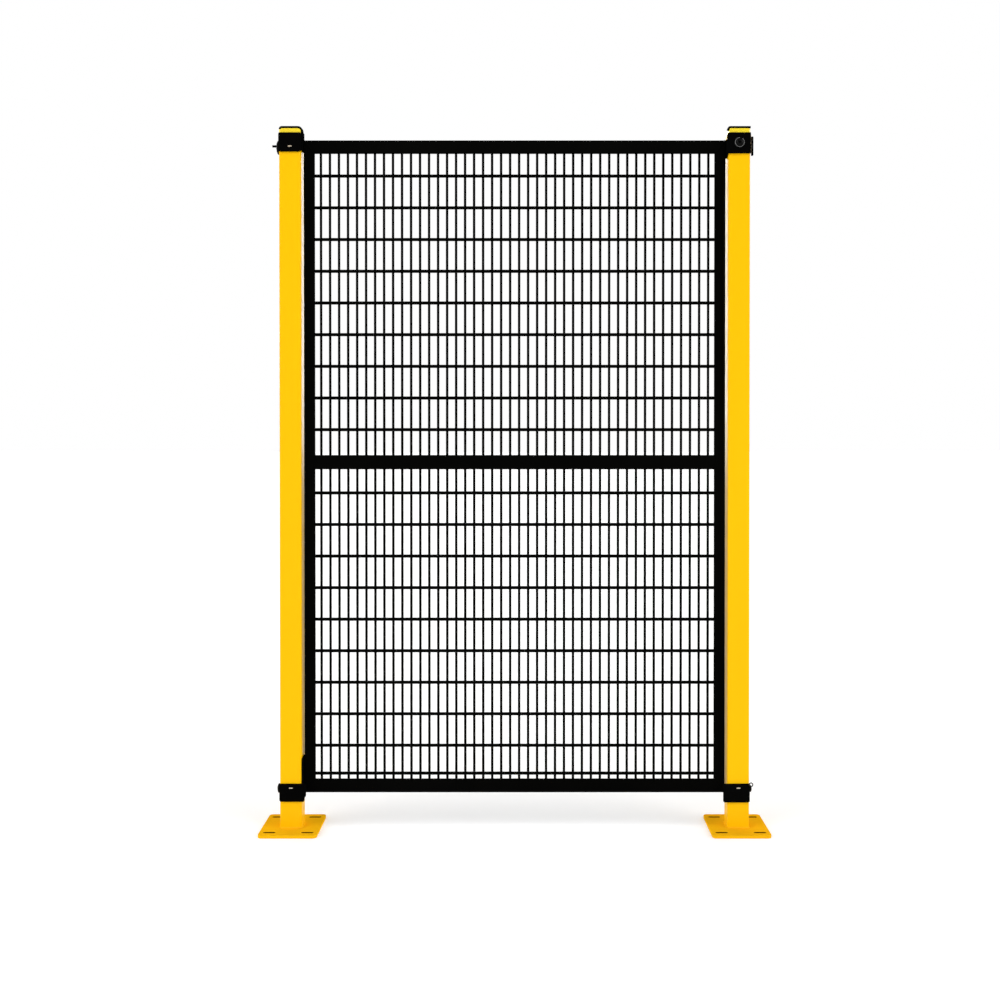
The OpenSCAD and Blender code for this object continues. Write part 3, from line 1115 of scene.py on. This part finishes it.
@dataclass
class PanelFrame(Assembly):
    """The black frame: mitred stiles and rails, a middle rail and their welds."""

    wall: float = 1.5 * MM
    corner: float = 2.5 * MM
    bead: Bead = field(default_factory=Bead)

    def tube(self, node: str, run: Vector, cuts: list[tuple[Vector, Vector]]) -> Workpiece:
        """Make one frame tube.

        Args:
            node: The CAD node that it replaces.
            run: The way that it runs.
            cuts: A point and the way away from the tube for each mitre.

        Returns:
            The tube.
        """
        low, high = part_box(node)
        tube = Workpiece.block(f"{node}_tube", low, high)
        tube.pick(Pick.EDGES, along(run)).bevel(self.corner, 5)
        tube.pick(Pick.FACES, lambda place, way: abs(way.dot(run)) > 0.9).delete_faces()
        for place, away in cuts:
            tube.cut(place, away, fill=False)
        return tube.wall(self.wall).smooth()

    def corners(self) -> Iterator[tuple[Vector, Vector]]:
        """Find the panel's corners.

        Yields:
            The outer and the inner corner of each mitre, in the frame's middle plane.
        """
        outer_low, outer_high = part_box("left_stile")[0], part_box("right_stile")[1]
        inner_low = Vector((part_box("left_stile")[1].x, 0.0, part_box("bottom_rail")[1].z))
        inner_high = Vector((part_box("right_stile")[0].x, 0.0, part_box("top_rail")[0].z))
        for outer_x, inner_x in ((outer_low.x, inner_low.x), (outer_high.x, inner_high.x)):
            for outer_z, inner_z in ((outer_low.z, inner_low.z), (outer_high.z, inner_high.z)):
                yield Vector((outer_x, 0.0, outer_z)), Vector((inner_x, 0.0, inner_z))

    def mitres(self, node: str) -> list[tuple[Vector, Vector]]:
        """Work out the cuts of one tube.

        Args:
            node: The tube's CAD node.

        Returns:
            A point and the way away from the tube for each mitre that the tube ends in.
        """
        low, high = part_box(node)
        middle = (low + high) / 2
        cuts = []
        for outer, inner in self.corners():
            if not (low.x - MM < outer.x < high.x + MM and low.z - MM < outer.z < high.z + MM):
                continue
            away = (inner - outer).cross(Y).normalized()
            if away.dot(middle - outer) > 0:
                away = -away
            cuts.append((outer, away))
        return cuts

    def seams(self) -> Workpiece:
        """Lay the weld beads on the mitres and at the ends of the middle rail."""
        low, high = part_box("left_stile")
        mid_low, mid_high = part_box("mid_rail")
        places = []
        for face, out in ((low.y, -Y), (high.y, Y)):
            lift = Vector((0.0, face, 0.0))
            for outer, inner in self.corners():
                start, end = outer.lerp(inner, 0.04), outer.lerp(inner, 0.96)
                places.extend(self.bead.line(start + lift, end + lift, out))
            for edge in (mid_low.x, mid_high.x):
                start = Vector((edge, face, mid_low.z + self.corner / 2))
                end = Vector((edge, face, mid_high.z - self.corner / 2))
                places.extend(self.bead.line(start, end, out))
        return self.bead.scale("frame_seams").place_copies(places).smooth(60.0)

    def build(self) -> Iterator[Workpiece]:
        """Build the frame's tubes and welds."""
        for node, run in (("left_stile", Z), ("right_stile", Z), ("top_rail", X), ("bottom_rail", X)):
            yield self.dress(self.tube(node, run, self.mitres(node)), Slot.FRAME, node)
        yield self.dress(self.tube("mid_rail", X, []), Slot.FRAME, "mid_rail")
        yield self.dress(self.seams(), Slot.FRAME)


@dataclass
class WeldedMesh(Assembly):
    """Level and upright wires, pressed into each other and welded at each crossing."""

    level_radius: float = 4.5 * MM
    upright_radius: float = 3.5 * MM
    upright_pitch: float = 25.0 * MM
    level_pitch: float = 87.8 * MM
    first_drop: float = 6.5 * MM
    last_rise: float = 47.5 * MM
    level_sink: float = 0.15 * MM
    weld_depth: float = 0.7 * MM
    sides: int = 12

    def __post_init__(self) -> None:
        """Work out the wires' places from the frame and the mesh nodes."""
        frame_low, frame_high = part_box("left_stile")[0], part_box("right_stile")[1]
        self.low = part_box("mesh_lower_left")[0]
        self.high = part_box("mesh_upper_right")[1]
        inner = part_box("right_stile")[0].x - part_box("left_stile")[1].x
        self.uprights = 2 * math.floor(inner / self.upright_pitch / 2)
        self.first_x = (frame_low.x + frame_high.x - (self.uprights - 1) * self.upright_pitch) / 2
        self.first_z = frame_high.z - self.first_drop
        self.last_z = frame_low.z + self.last_rise
        spare = self.first_z - self.last_z - 4 * self.level_radius
        self.levels = math.floor(spare / self.level_pitch) + 1
        self.level_y = frame_high.y + self.level_radius - self.level_sink
        self.upright_y = self.level_y + self.level_radius + self.upright_radius - self.weld_depth

    def level_wires(self) -> Workpiece:
        """Make the level wires."""
        start = Vector((self.low.x, self.level_y, self.first_z))
        end = Vector((self.high.x, self.level_y, self.first_z))
        wire = Workpiece.rod("level_wires", start, end, self.level_radius, self.sides)
        wire.pick(Pick.FACES, lambda place, way: abs(way.x) > 0.9).bevel(0.8 * MM, 2)
        drop = Z * (self.last_z - self.first_z)
        wires = [Matrix.Translation(-Z * self.level_pitch * index) for index in range(self.levels)]
        return wire.place_copies([*wires, Matrix.Translation(drop)])

    def upright_wires(self) -> Workpiece:
        """Make the upright wires."""
        start = Vector((self.first_x, self.upright_y, self.low.z))
        end = Vector((self.first_x, self.upright_y, self.high.z))
        wire = Workpiece.rod("upright_wires", start, end, self.upright_radius, self.sides)
        wire.pick(Pick.FACES, lambda place, way: abs(way.z) > 0.9).bevel(0.7 * MM, 2)
        return wire.leave().repeat(self.uprights, X * self.upright_pitch)

    def nuggets(self) -> Workpiece:
        """Make the weld nuggets at the crossings."""
        deep = self.level_y + self.level_radius - self.weld_depth / 2
        centre = Vector((self.first_x, deep, self.first_z))
        radii = Vector((self.upright_radius + 1.5 * MM, 1.9 * MM, self.level_radius + 1.0 * MM))
        nugget = Workpiece.ball("weld_nuggets", centre, radii, 8, 5)
        nugget.pick(Pick.FACES, lambda place, way: place.y > deep).resize(Vector((0.7, 1.0, 1.15)), centre)
        nugget.leave().repeat(self.uprights, X * self.upright_pitch)
        rows = [Matrix.Translation(-Z * self.level_pitch * index) for index in range(self.levels)]
        return nugget.place_copies([*rows, Matrix.Translation(Z * (self.last_z - self.first_z))])

    def tacks(self) -> Workpiece:
        """Make the welds that hold the level wires on the frame's back."""
        heights = [self.first_z - self.level_pitch * index for index in range(self.levels)]
        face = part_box("left_stile")[1].y
        places = []
        for node in ("left_stile", "right_stile"):
            low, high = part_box(node)
            for height in (*heights, self.last_z):
                for side in (-1, 1):
                    edge = Vector(((low.x + high.x) / 2, face, height + side * 0.8 * self.level_radius))
                    places.extend(Bead().line(edge - 6 * MM * X, edge + 6 * MM * X, Y + side * 0.6 * Z))
        return Bead(width=1.9 * MM).scale("wire_tacks").place_copies(places).smooth(60.0)

    def build(self) -> Iterator[Workpiece]:
        """Build the mesh and its welds."""
        wires = self.level_wires().join(self.upright_wires(), self.nuggets())
        wires.obj.name = wires.obj.data.name = "welded_mesh"
        corners = ("upper_left", "upper_right", "lower_left", "lower_right")
        yield self.dress(wires.smooth(50.0), Slot.MESH, *(f"mesh_{corner}" for corner in corners))
        yield self.dress(self.tacks(), Slot.MESH)


@dataclass
class Clamp(Assembly):
    """What the clamps at the four corners share."""

    rim: float = 0.7 * MM
    sheet: float = 4.0 * MM
    strap_sheet: float = 5.5 * MM
    seat: float = 0.3 * MM
    slot_length: float = 12.0 * MM
    slot_width: float = 4.5 * MM

    def sheet_plate(self, name: str, node: str, axis: Vector, corner: float) -> Workpiece:
        """Make a flat plate with rounded corners.

        Args:
            name: The piece's name.
            node: The CAD node that it replaces.
            axis: The way through its thickness.
            corner: The radius of its corners.

        Returns:
            The plate, with sharp rims.
        """
        low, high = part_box(node)
        plate = Workpiece.block(name, low, high)
        return plate.pick(Pick.EDGES, along(axis)).bevel(corner, 6)

    def slot(self, plate: Workpiece, centre: Vector) -> Workpiece:
        """Cut the clamp's slot in a front plate."""
        return plate.carve(slot_tool(centre, self.slot_length, self.slot_width, 0.02, Y))

    def slot_key(self, name: str, node: str, height: float) -> Workpiece:
        """Make the plated key that shows in a clamp's slot; its pale tone also gives the slot's glint, a
        painted highlight.

        Args:
            name: The piece's name.
            node: The CAD node with the slot.
            height: The slot's height above the floor.

        Returns:
            The key.
        """
        low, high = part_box(node)
        post_low, post_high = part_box("left_post" if "left" in node else "right_post")
        middle = (post_low.x + post_high.x) / 2
        reach = self.slot_length / 2 - self.seat
        half = self.slot_width / 2 - self.seat
        front = high.y - 0.45 * self.sheet
        bottom = Vector((middle - reach, front, height - half))
        top = Vector((middle + reach, high.y, height + half))
        key = Workpiece.block(name, bottom, top)
        key.pick(Pick.EDGES, along(Y)).bevel(0.98 * half, 6)
        key.pick(Pick.FACES, facing(-Y)).inset(0.5 * MM, 0.35 * MM)
        return key.round_rims(0.2 * MM, 2, 30.0).smooth()

    def domed(
        self, name: str, node: str, out: Vector, rim: float, socket: float = 0.0, drop: float = 0.0
    ) -> Workpiece:
        """Make a domed head.

        Args:
            name: The piece's name.
            node: The CAD node that it replaces.
            out: The way that the head stands out.
            rim: The height of its straight rim.
            socket: The width of its hexagon socket, or 0.
            drop: How far it sits below the node.

        Returns:
            The head.
        """
        low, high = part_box(node)
        middle = (low + high) / 2 - Z * drop
        height = abs((high - low).dot(out))
        radius = (high.z - low.z) / 2
        foot = middle - out * height / 2
        head = Workpiece.rod(name, foot, foot + out * rim, radius, 40)
        head.pick(Pick.FACES, facing(out))
        crown(head, radius, height - rim)
        if socket:
            top = foot + out * height
            tool = Workpiece.rod("socket_tool", top - out * 0.6 * height, top + out * MM, socket / 2, 6)
            head.leave().carve(tool)
        return head.round_rims(0.3 * MM, 2, 35.0).smooth(50.0)


@dataclass
class UpperLeftClamp(Clamp):
    """A strap bent over the post, a slotted front plate and a domed washer with a bolt tip."""

    plate_corner: float = 4.0 * MM
    slot_drop: float = 37.0 * MM
    bend: float = 14.0 * MM
    hook: float = 8.0 * MM
    leg_depth: float = 40.0 * MM
    strap_depth: float = 14.0 * MM

    def strap(self) -> Workpiece:
        """Bend the strap over the cap and down beside the panel."""
        low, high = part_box("top_left_strap")
        panel_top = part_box("top_rail")[1].z + self.seat
        start = Vector((low.x + self.hook, low.y, high.z - self.strap_sheet))
        end = Vector((high.x - self.bend, low.y + self.strap_depth, high.z))
        strap = Workpiece.block("upper_left_strap", start, end)
        strap.pick(Pick.FACES, facing(-X)).spin(-90.0, Vector((start.x, 0.0, high.z - self.hook)), Y, 8)
        strap.pick(Pick.FACES, both(facing(X), lambda place, way: place.x > end.x - MM))
        strap.spin(90.0, Vector((end.x, 0.0, high.z - self.bend)), Y, 10)
        strap.extrude(Z * (panel_top - high.z + self.bend)).heal()
        inner = high.x - self.strap_sheet
        leg_low = Vector((inner, low.y, low.z))
        leg_high = Vector((inner + self.sheet, low.y + self.leg_depth, high.z - self.bend))
        strap.leave().carve(Workpiece.block("leg", leg_low, leg_high), "UNION")
        return strap.round_rims(self.rim, 2, 45.0).smooth()

    def plate(self) -> Workpiece:
        """Make the slotted front plate."""
        low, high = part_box("top_left_plate")
        plate = self.sheet_plate("upper_left_plate", "top_left_plate", Y, self.plate_corner)
        centre = Vector(((low.x + high.x) / 2, (low.y + high.y) / 2, high.z - self.slot_drop))
        return self.slot(plate, centre).round_rims(self.rim, 2).smooth()

    def bolt_tip(self) -> Workpiece:
        """Make the threaded bolt tip."""
        low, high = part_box("top_left_bolt_tip")
        middle = (low + high) / 2
        radius = (high.z - low.z) / 2
        start, pitch = Vector((high.x, middle.y, middle.z)), 1.0 * MM
        turns = math.floor((high.x - low.x) / pitch) - 1
        tip = Workpiece.rod("upper_left_bolt_tip", start, start - X * pitch / 2, radius, 20)
        tip.pick(Pick.FACES, facing(-X))
        for turn in range(turns):
            for factor in (0.86, 1 / 0.86):
                tip.extrude(-X * pitch / 2).resize(Vector((1.0, factor, factor)), middle)
        tip.extrude(-X * (high.x - low.x - pitch * (turns + 0.5)))
        tip.resize(Vector((1.0, 0.8, 0.8)), middle)
        return tip.smooth(20.0)

    def build(self) -> Iterator[Workpiece]:
        """Build the clamp's pieces."""
        yield self.dress(self.strap(), Slot.BRACKET, "top_left_strap")
        yield self.dress(self.plate(), Slot.BRACKET, "top_left_plate")
        knob = self.domed("upper_left_knob", "top_left_knob", -X, 5.0 * MM)
        yield self.dress(knob, Slot.FASTENER, "top_left_knob")
        yield self.dress(self.bolt_tip(), Slot.FASTENER, "top_left_bolt_tip")
        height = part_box("top_left_plate")[1].z - self.slot_drop
        key = self.slot_key("upper_left_key", "top_left_plate", height)
        yield self.dress(key, Slot.FASTENER, material=self.finishes.plated)


@dataclass
class UpperRightClamp(Clamp):
    """A folded plate with a sloped leg, a folded strap, a round bolt and a side plate."""

    corner: float = 4.0 * MM
    lip: float = 10.0 * MM
    lip_angle: float = 68.0
    leg_slope: float = 8.0 * MM
    leg_reach: float = 20.0 * MM
    washer: float = 1.5 * MM
    plate_inset: float = 0.2 * MM
    highlight_ring_wire: float = 1.0 * MM
    highlight_ring_turn: float = 322.0

    def strap(self) -> Workpiece:
        """Fold the strap over the cap's slope."""
        low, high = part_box("top_right_strap")
        angle = math.radians(self.lip_angle)
        fold = low.x + self.lip * math.cos(angle)
        inner = 1.0 * MM
        start = fold + (self.strap_sheet + inner) * math.tan(angle / 2)
        corner = Vector((start, low.y, high.z - self.strap_sheet))
        strap = Workpiece.block("upper_right_strap", corner, high)
        strap.pick(Pick.FACES, facing(-X))
        strap.spin(-self.lip_angle, Vector((start, 0.0, high.z - self.strap_sheet - inner)), Y, 6)
        spent = (self.strap_sheet + inner) * math.tan(angle / 2)
        run = Vector((-math.cos(angle), 0.0, -math.sin(angle)))
        strap.extrude(run * (self.lip - spent))
        return strap.heal().round_rims(self.rim, 2, 45.0).smooth()

    def plate(self) -> Workpiece:
        """Fold the front plate and its leg beside the panel."""
        low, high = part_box("top_right_plate")
        edge = low.x + self.plate_inset
        panel_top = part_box("top_rail")[1].z
        bottom = low.z + self.leg_slope
        front_high = Vector((high.x, low.y + self.sheet, high.z))
        front = Workpiece.block("upper_right_plate", Vector((edge, low.y, bottom)), front_high)
        upper = both(along(Y), at(Vector((edge, 0.0, high.z)), x=True, z=True))
        front.pick(Pick.EDGES, upper).bevel(1.2 * self.corner, 1)
        right = both(along(Y), lambda place, way: abs(place.x - high.x) < 0.1 * MM)
        front.pick(Pick.EDGES, right).bevel(1.0 * MM, 2)
        leg = Workpiece.block("leg", low, Vector((low.x + self.sheet, high.y, panel_top)))
        slope = Vector((0.0, self.leg_reach, -self.leg_slope))
        leg.cut(Vector((0.0, low.y, bottom)), slope.cross(X))
        web_low = Vector((low.x + 0.5 * self.sheet, low.y, bottom))
        web = Workpiece.block("web", web_low, Vector((edge + self.sheet, front_high.y, panel_top)))
        front.leave().carve(web, "UNION").carve(leg, "UNION")
        fold = both(along(Z), at(low, x=True, y=True))
        front.pick(Pick.EDGES, fold).bevel(2.5 * MM, 4)
        return front.round_rims(self.rim, 2).smooth()

    def bolt(self) -> Workpiece:
        """Make the round bolt with its washer and hexagon socket."""
        low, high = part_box("top_right_bolt")
        middle = (low + high) / 2
        radius = (high.x - low.x) / 2
        foot = Vector((middle.x, high.y, middle.z))
        bolt = Workpiece.rod("upper_right_bolt", foot, foot - Y * self.washer, radius, 48)
        bolt.pick(Pick.FACES, facing(-Y)).inset(2.2 * MM)
        bolt.extrude(Y * 0.8 * MM).inset(0.3 * radius - 2.2 * MM)
        bolt.extrude(-Y * 1.3 * MM)
        crown(bolt, 0.7 * radius, high.y - low.y - self.washer - 0.5 * MM, 0.35)
        top = Vector((middle.x, low.y, middle.z))
        bolt.leave().carve(Workpiece.rod("socket_tool", top + Y * 3 * MM, top - Y * MM, 4.0 * MM, 6))
        return bolt.round_rims(0.45 * MM, 3, 35.0).smooth(50.0)

    def highlight_ring(self) -> Workpiece:
        """Wind the open grey wire ring that lies in the washer's rim: a painted highlight, standing in for
        the light caught on the washer's rim.
        """
        low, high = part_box("top_right_bolt")
        wire = self.highlight_ring_wire
        reach = (high.x - low.x) / 2 - 1.3 * wire
        middle = Vector(((low.x + high.x) / 2, high.y - self.washer, (low.z + high.z) / 2))
        ring = Workpiece.disc("upper_right_highlight_ring", middle + Z * reach, X, wire, 10)
        ring.pick_all().spin(-self.highlight_ring_turn, middle, Y, 40)
        return ring.heal().smooth(60.0)

    def spacer(self) -> Workpiece:
        """Make the plated bar that holds the side plate off the post."""
        spacer = self.sheet_plate("upper_right_spacer", "top_right_spacer", X, 1.0 * MM)
        return spacer.round_rims(0.4 * MM, 2).smooth()

    def build(self) -> Iterator[Workpiece]:
        """Build the clamp's pieces."""
        yield self.dress(self.strap(), Slot.BRACKET, "top_right_strap")
        yield self.dress(self.plate(), Slot.BRACKET, "top_right_plate")
        yield self.dress(self.bolt(), Slot.FASTENER, "top_right_bolt")
        # The grey ring is a painted highlight on the washer's rim.
        yield self.dress(self.highlight_ring(), Slot.FASTENER, material=self.finishes.ring_highlight)
        spacer = self.spacer()
        yield self.dress(spacer, Slot.FASTENER, "top_right_spacer", material=self.finishes.plated)
        side = self.sheet_plate("upper_right_side_plate", "top_right_clamp", X, self.corner)
        yield self.dress(side.round_rims(self.rim, 2).smooth(), Slot.BRACKET, "top_right_clamp")


@dataclass
class LowerClamp(Clamp):
    """A front band over a folded collar, with a side bolt."""

    side: Side = Side.LEFT
    slot_rise: float = 18.0 * MM
    band_corner: float = 5.0 * MM
    collar_corner: float = 5.0 * MM
    tab_corner: float = 4.0 * MM
    head_drop: float = 0.0

    def node(self, part: str) -> str:
        """Name one of this clamp's CAD nodes."""
        return f"bottom_{self.side.value}_{part}"

    def name(self, part: str) -> str:
        """Name one of this clamp's pieces."""
        return f"lower_{self.side.value}_{part}"

    def slot_height(self) -> float:
        """Work out the height of the slot above the floor."""
        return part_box("bottom_rail")[0].z + self.slot_rise

    def band(self) -> Workpiece:
        """Make the slotted front band."""
        low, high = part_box(self.node("band"))
        band = Workpiece.block(self.name("band"), low, high)
        if self.side is Side.LEFT:
            edge = both(along(Y), lambda place, way: place.x > high.x - MM and place.z < low.z + MM)
            band.pick(Pick.EDGES, edge).bevel(self.band_corner, 8)
        else:
            band.pick(Pick.EDGES, along(Y)).bevel(1.5 * MM, 3)
        post_low, post_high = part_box(f"{self.side.value}_post")
        centre = Vector(((post_low.x + post_high.x) / 2, (low.y + high.y) / 2, self.slot_height()))
        return self.slot(band, centre).round_rims(self.rim, 2).smooth()

    def collar(self) -> Workpiece:
        """Fold the collar: a plate in front of the post and a leg at its inner side."""
        low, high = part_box(self.node("collar"))
        post_low, post_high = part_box(f"{self.side.value}_post")
        front_high = Vector((high.x, low.y + self.sheet, high.z))
        collar = Workpiece.block(self.name("collar"), low, front_high)
        lower = both(along(Y), lambda place, way: place.z < low.z + MM)
        collar.pick(Pick.EDGES, lower).bevel(self.collar_corner, 6)
        inner = post_high.x + self.seat if self.side is Side.LEFT else post_low.x - self.seat - self.sheet
        leg_low = Vector((inner, low.y + MM, low.z + self.collar_corner / 2))
        leg = Workpiece.block("leg", leg_low, Vector((inner + self.sheet, high.y, high.z)))
        return collar.leave().carve(leg, "UNION").round_rims(0.6 * MM, 2, 50.0).smooth()

    def tab(self) -> Workpiece:
        """Make the leg that rises between the post and the panel."""
        low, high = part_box(self.node("tab"))
        tab = Workpiece.block(self.name("tab"), low, high)
        top = both(along(X), at(Vector((0.0, low.y, high.z)), y=True, z=True))
        tab.pick(Pick.EDGES, top).bevel(self.tab_corner, 1)
        return tab.round_rims(self.rim, 2, 50.0).smooth()

    def ring(self) -> Workpiece:
        """Spin the pull ring from its wire, with the swaged joint that closes it."""
        low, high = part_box(self.node("ring"))
        middle = (low + high) / 2
        wire = (high.y - low.y) / 2
        reach = (high.x - low.x) / 2 - wire
        ring = Workpiece.disc(self.name("ring"), middle + X * reach, Z, wire, 10)
        ring.pick_all().spin(336.0, middle, Y, 28)
        ring.heal()
        joint_start = Matrix.Rotation(math.radians(-30.0), 3, "Y") @ (X * reach)
        joint = Workpiece.rod("joint", middle + joint_start, middle + X * reach, 0.85 * wire, 10)
        return ring.leave().join(joint.leave()).smooth(60.0)

    def build(self) -> Iterator[Workpiece]:
        """Build the clamp's pieces."""
        yield self.dress(self.band(), Slot.BRACKET, self.node("band"))
        yield self.dress(self.collar(), Slot.BRACKET, self.node("collar"))
        out = -X if self.side is Side.LEFT else X
        head = self.domed(self.name("head"), self.node("head"), out, 7.0 * MM, 9.0 * MM, self.head_drop)
        yield self.dress(head, Slot.FASTENER, self.node("head"))
        key = self.slot_key(self.name("key"), self.node("band"), self.slot_height())
        yield self.dress(key, Slot.FASTENER, material=self.finishes.plated)
        if self.side is Side.LEFT:
            yield self.dress(self.tab(), Slot.BRACKET, self.node("tab"))
        else:
            yield self.dress(self.ring(), Slot.FASTENER, self.node("ring"))


# The studio


@dataclass
class Studio:
    """A pale floor, plain soft light and the camera."""

    lens: float = 50.4
    camera_side: float = 8.0 * MM
    camera_back: float = 3.871
    camera_height: float = 1.143
    camera_pitch: float = 0.62
    shift: tuple[float, float] = (-0.0175, -0.0695)
    ambient: float = 0.4
    key_strength: float = 1.75
    top_strength: float = 0.5
    back_strength: float = 1.6
    floor_glow: float = 0.25
    floor_tone: Colour = (0.88, 0.88, 0.88, 1.0)

    def camera(self) -> None:
        """Set the camera in front of the panel's middle."""
        low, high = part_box("left_stile")[0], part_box("right_stile")[1]
        data = bpy.data.cameras.new("camera")
        data.lens = self.lens
        data.sensor_width = 36.0
        data.shift_x, data.shift_y = self.shift
        camera = bpy.data.objects.new("camera", data)
        camera.location = ((low.x + high.x) / 2 + self.camera_side, -self.camera_back, self.camera_height)
        camera.rotation_euler = (math.radians(90.0 - self.camera_pitch), 0.0, 0.0)
        bpy.context.scene.collection.objects.link(camera)
        bpy.context.scene.camera = camera

    def floor(self) -> None:
        """Lay the floor, which keeps the object's shadow and is white where the light reaches it."""
        Workpiece.clear_bench()
        bpy.ops.mesh.primitive_plane_add(size=80.0, location=(0.0, 0.0, -0.4 * MM))
        floor = bpy.context.object
        floor.name = "floor"
        material = bpy.data.materials.new("floor")
        material.use_nodes = True
        desk = NodeDesk(material.node_tree)
        matt = desk.node("ShaderNodeBsdfDiffuse", None, {"Color": self.floor_tone})
        seen = Signal(desk, desk.node("ShaderNodeLightPath").outputs["Is Camera Ray"])
        glow = desk.node("ShaderNodeEmission", None, {"Strength": seen * self.floor_glow})
        both_shaders = desk.node("ShaderNodeAddShader", None, {0: matt.outputs[0], 1: glow.outputs[0]})
        desk.node("ShaderNodeOutputMaterial", None, {"Surface": both_shaders.outputs[0]})
        floor.data.materials.append(material)

    def world(self) -> None:
        """Light the scene evenly, with a white background behind the object."""
        world = bpy.data.worlds.new("studio")
        world.use_nodes = True
        bpy.context.scene.world = world
        desk = NodeDesk(world.node_tree)
        way = desk.node("ShaderNodeTexCoord").outputs["Generated"]
        deep = desk.node("ShaderNodeSeparateXYZ", None, {0: way}).outputs["Y"]
        behind = desk.window(Signal(desk, deep), -0.3, 0.2)
        path = desk.node("ShaderNodeLightPath")
        camera = Signal(desk, path.outputs["Is Camera Ray"])
        glossy = Signal(desk, path.outputs["Is Glossy Ray"])
        mirrored = glossy + Signal(desk, path.outputs["Is Transmission Ray"])
        seen = camera.at_least(mirrored * behind * 0.3)
        glossy_front = mirrored * (1 - behind) * 0.9
        strength = seen + (1 - seen) * (1 - glossy_front) * self.ambient
        sky = desk.node("ShaderNodeBackground", None, {"Color": (1.0, 1.0, 1.0, 1.0), "Strength": strength})
        desk.node("ShaderNodeOutputWorld", None, {"Surface": sky.outputs[0]})

    def sun(self, name: str, source: Vector, strength: float, spread: float) -> None:
        """Hang a large soft lamp far away.

        Args:
            name: The lamp's name.
            source: The way towards the lamp.
            strength: Its strength.
            spread: Its apparent width, in degrees.
        """
        data = bpy.data.lights.new(name, "SUN")
        data.energy = strength
        data.angle = math.radians(spread)
        lamp = bpy.data.objects.new(name, data)
        lamp.rotation_euler = source.to_track_quat("Z", "Y").to_euler()
        bpy.context.scene.collection.objects.link(lamp)

    def build(self) -> None:
        """Set up the whole studio."""
        self.floor()
        self.world()
        self.sun("key_left", Vector((-0.814, -0.47, 0.342)), self.key_strength, 50.0)
        self.sun("key_right", Vector((0.814, -0.47, 0.342)), self.key_strength, 50.0)
        self.sun("top", Vector((0.0, -0.05, 1.0)), self.top_strength, 70.0)
        self.sun("back_left", Vector((-0.3, 0.95, 0.03)), self.back_strength, 40.0)
        self.sun("back_right", Vector((0.3, 0.95, 0.03)), self.back_strength, 40.0)
        self.camera()
        bpy.context.scene.view_settings.view_transform = "Standard"


def main() -> None:
    logging.basicConfig(level=logging.INFO, format="%(name)s: %(message)s")
    low, high = CAD_BOX
    finishes = Finishes((low + high) / 2)
    assemblies = (
        FloorPost(finishes, Side.LEFT),
        FloorPost(finishes, Side.RIGHT),
        PanelFrame(finishes),
        WeldedMesh(finishes),
        UpperLeftClamp(finishes),
        UpperRightClamp(finishes),
        LowerClamp(finishes, side=Side.LEFT),
        LowerClamp(finishes, side=Side.RIGHT, head_drop=9.0 * MM),
    )
    for assembly in assemblies:
        for piece in assembly.build():
            faces = len(piece.obj.data.polygons)
            log.info("%s: %s, %d faces", type(assembly).__name__, piece.obj.name, faces)
    Studio().build()
    Workpiece.clear_bench()


if __name__ == "__main__":
    main()
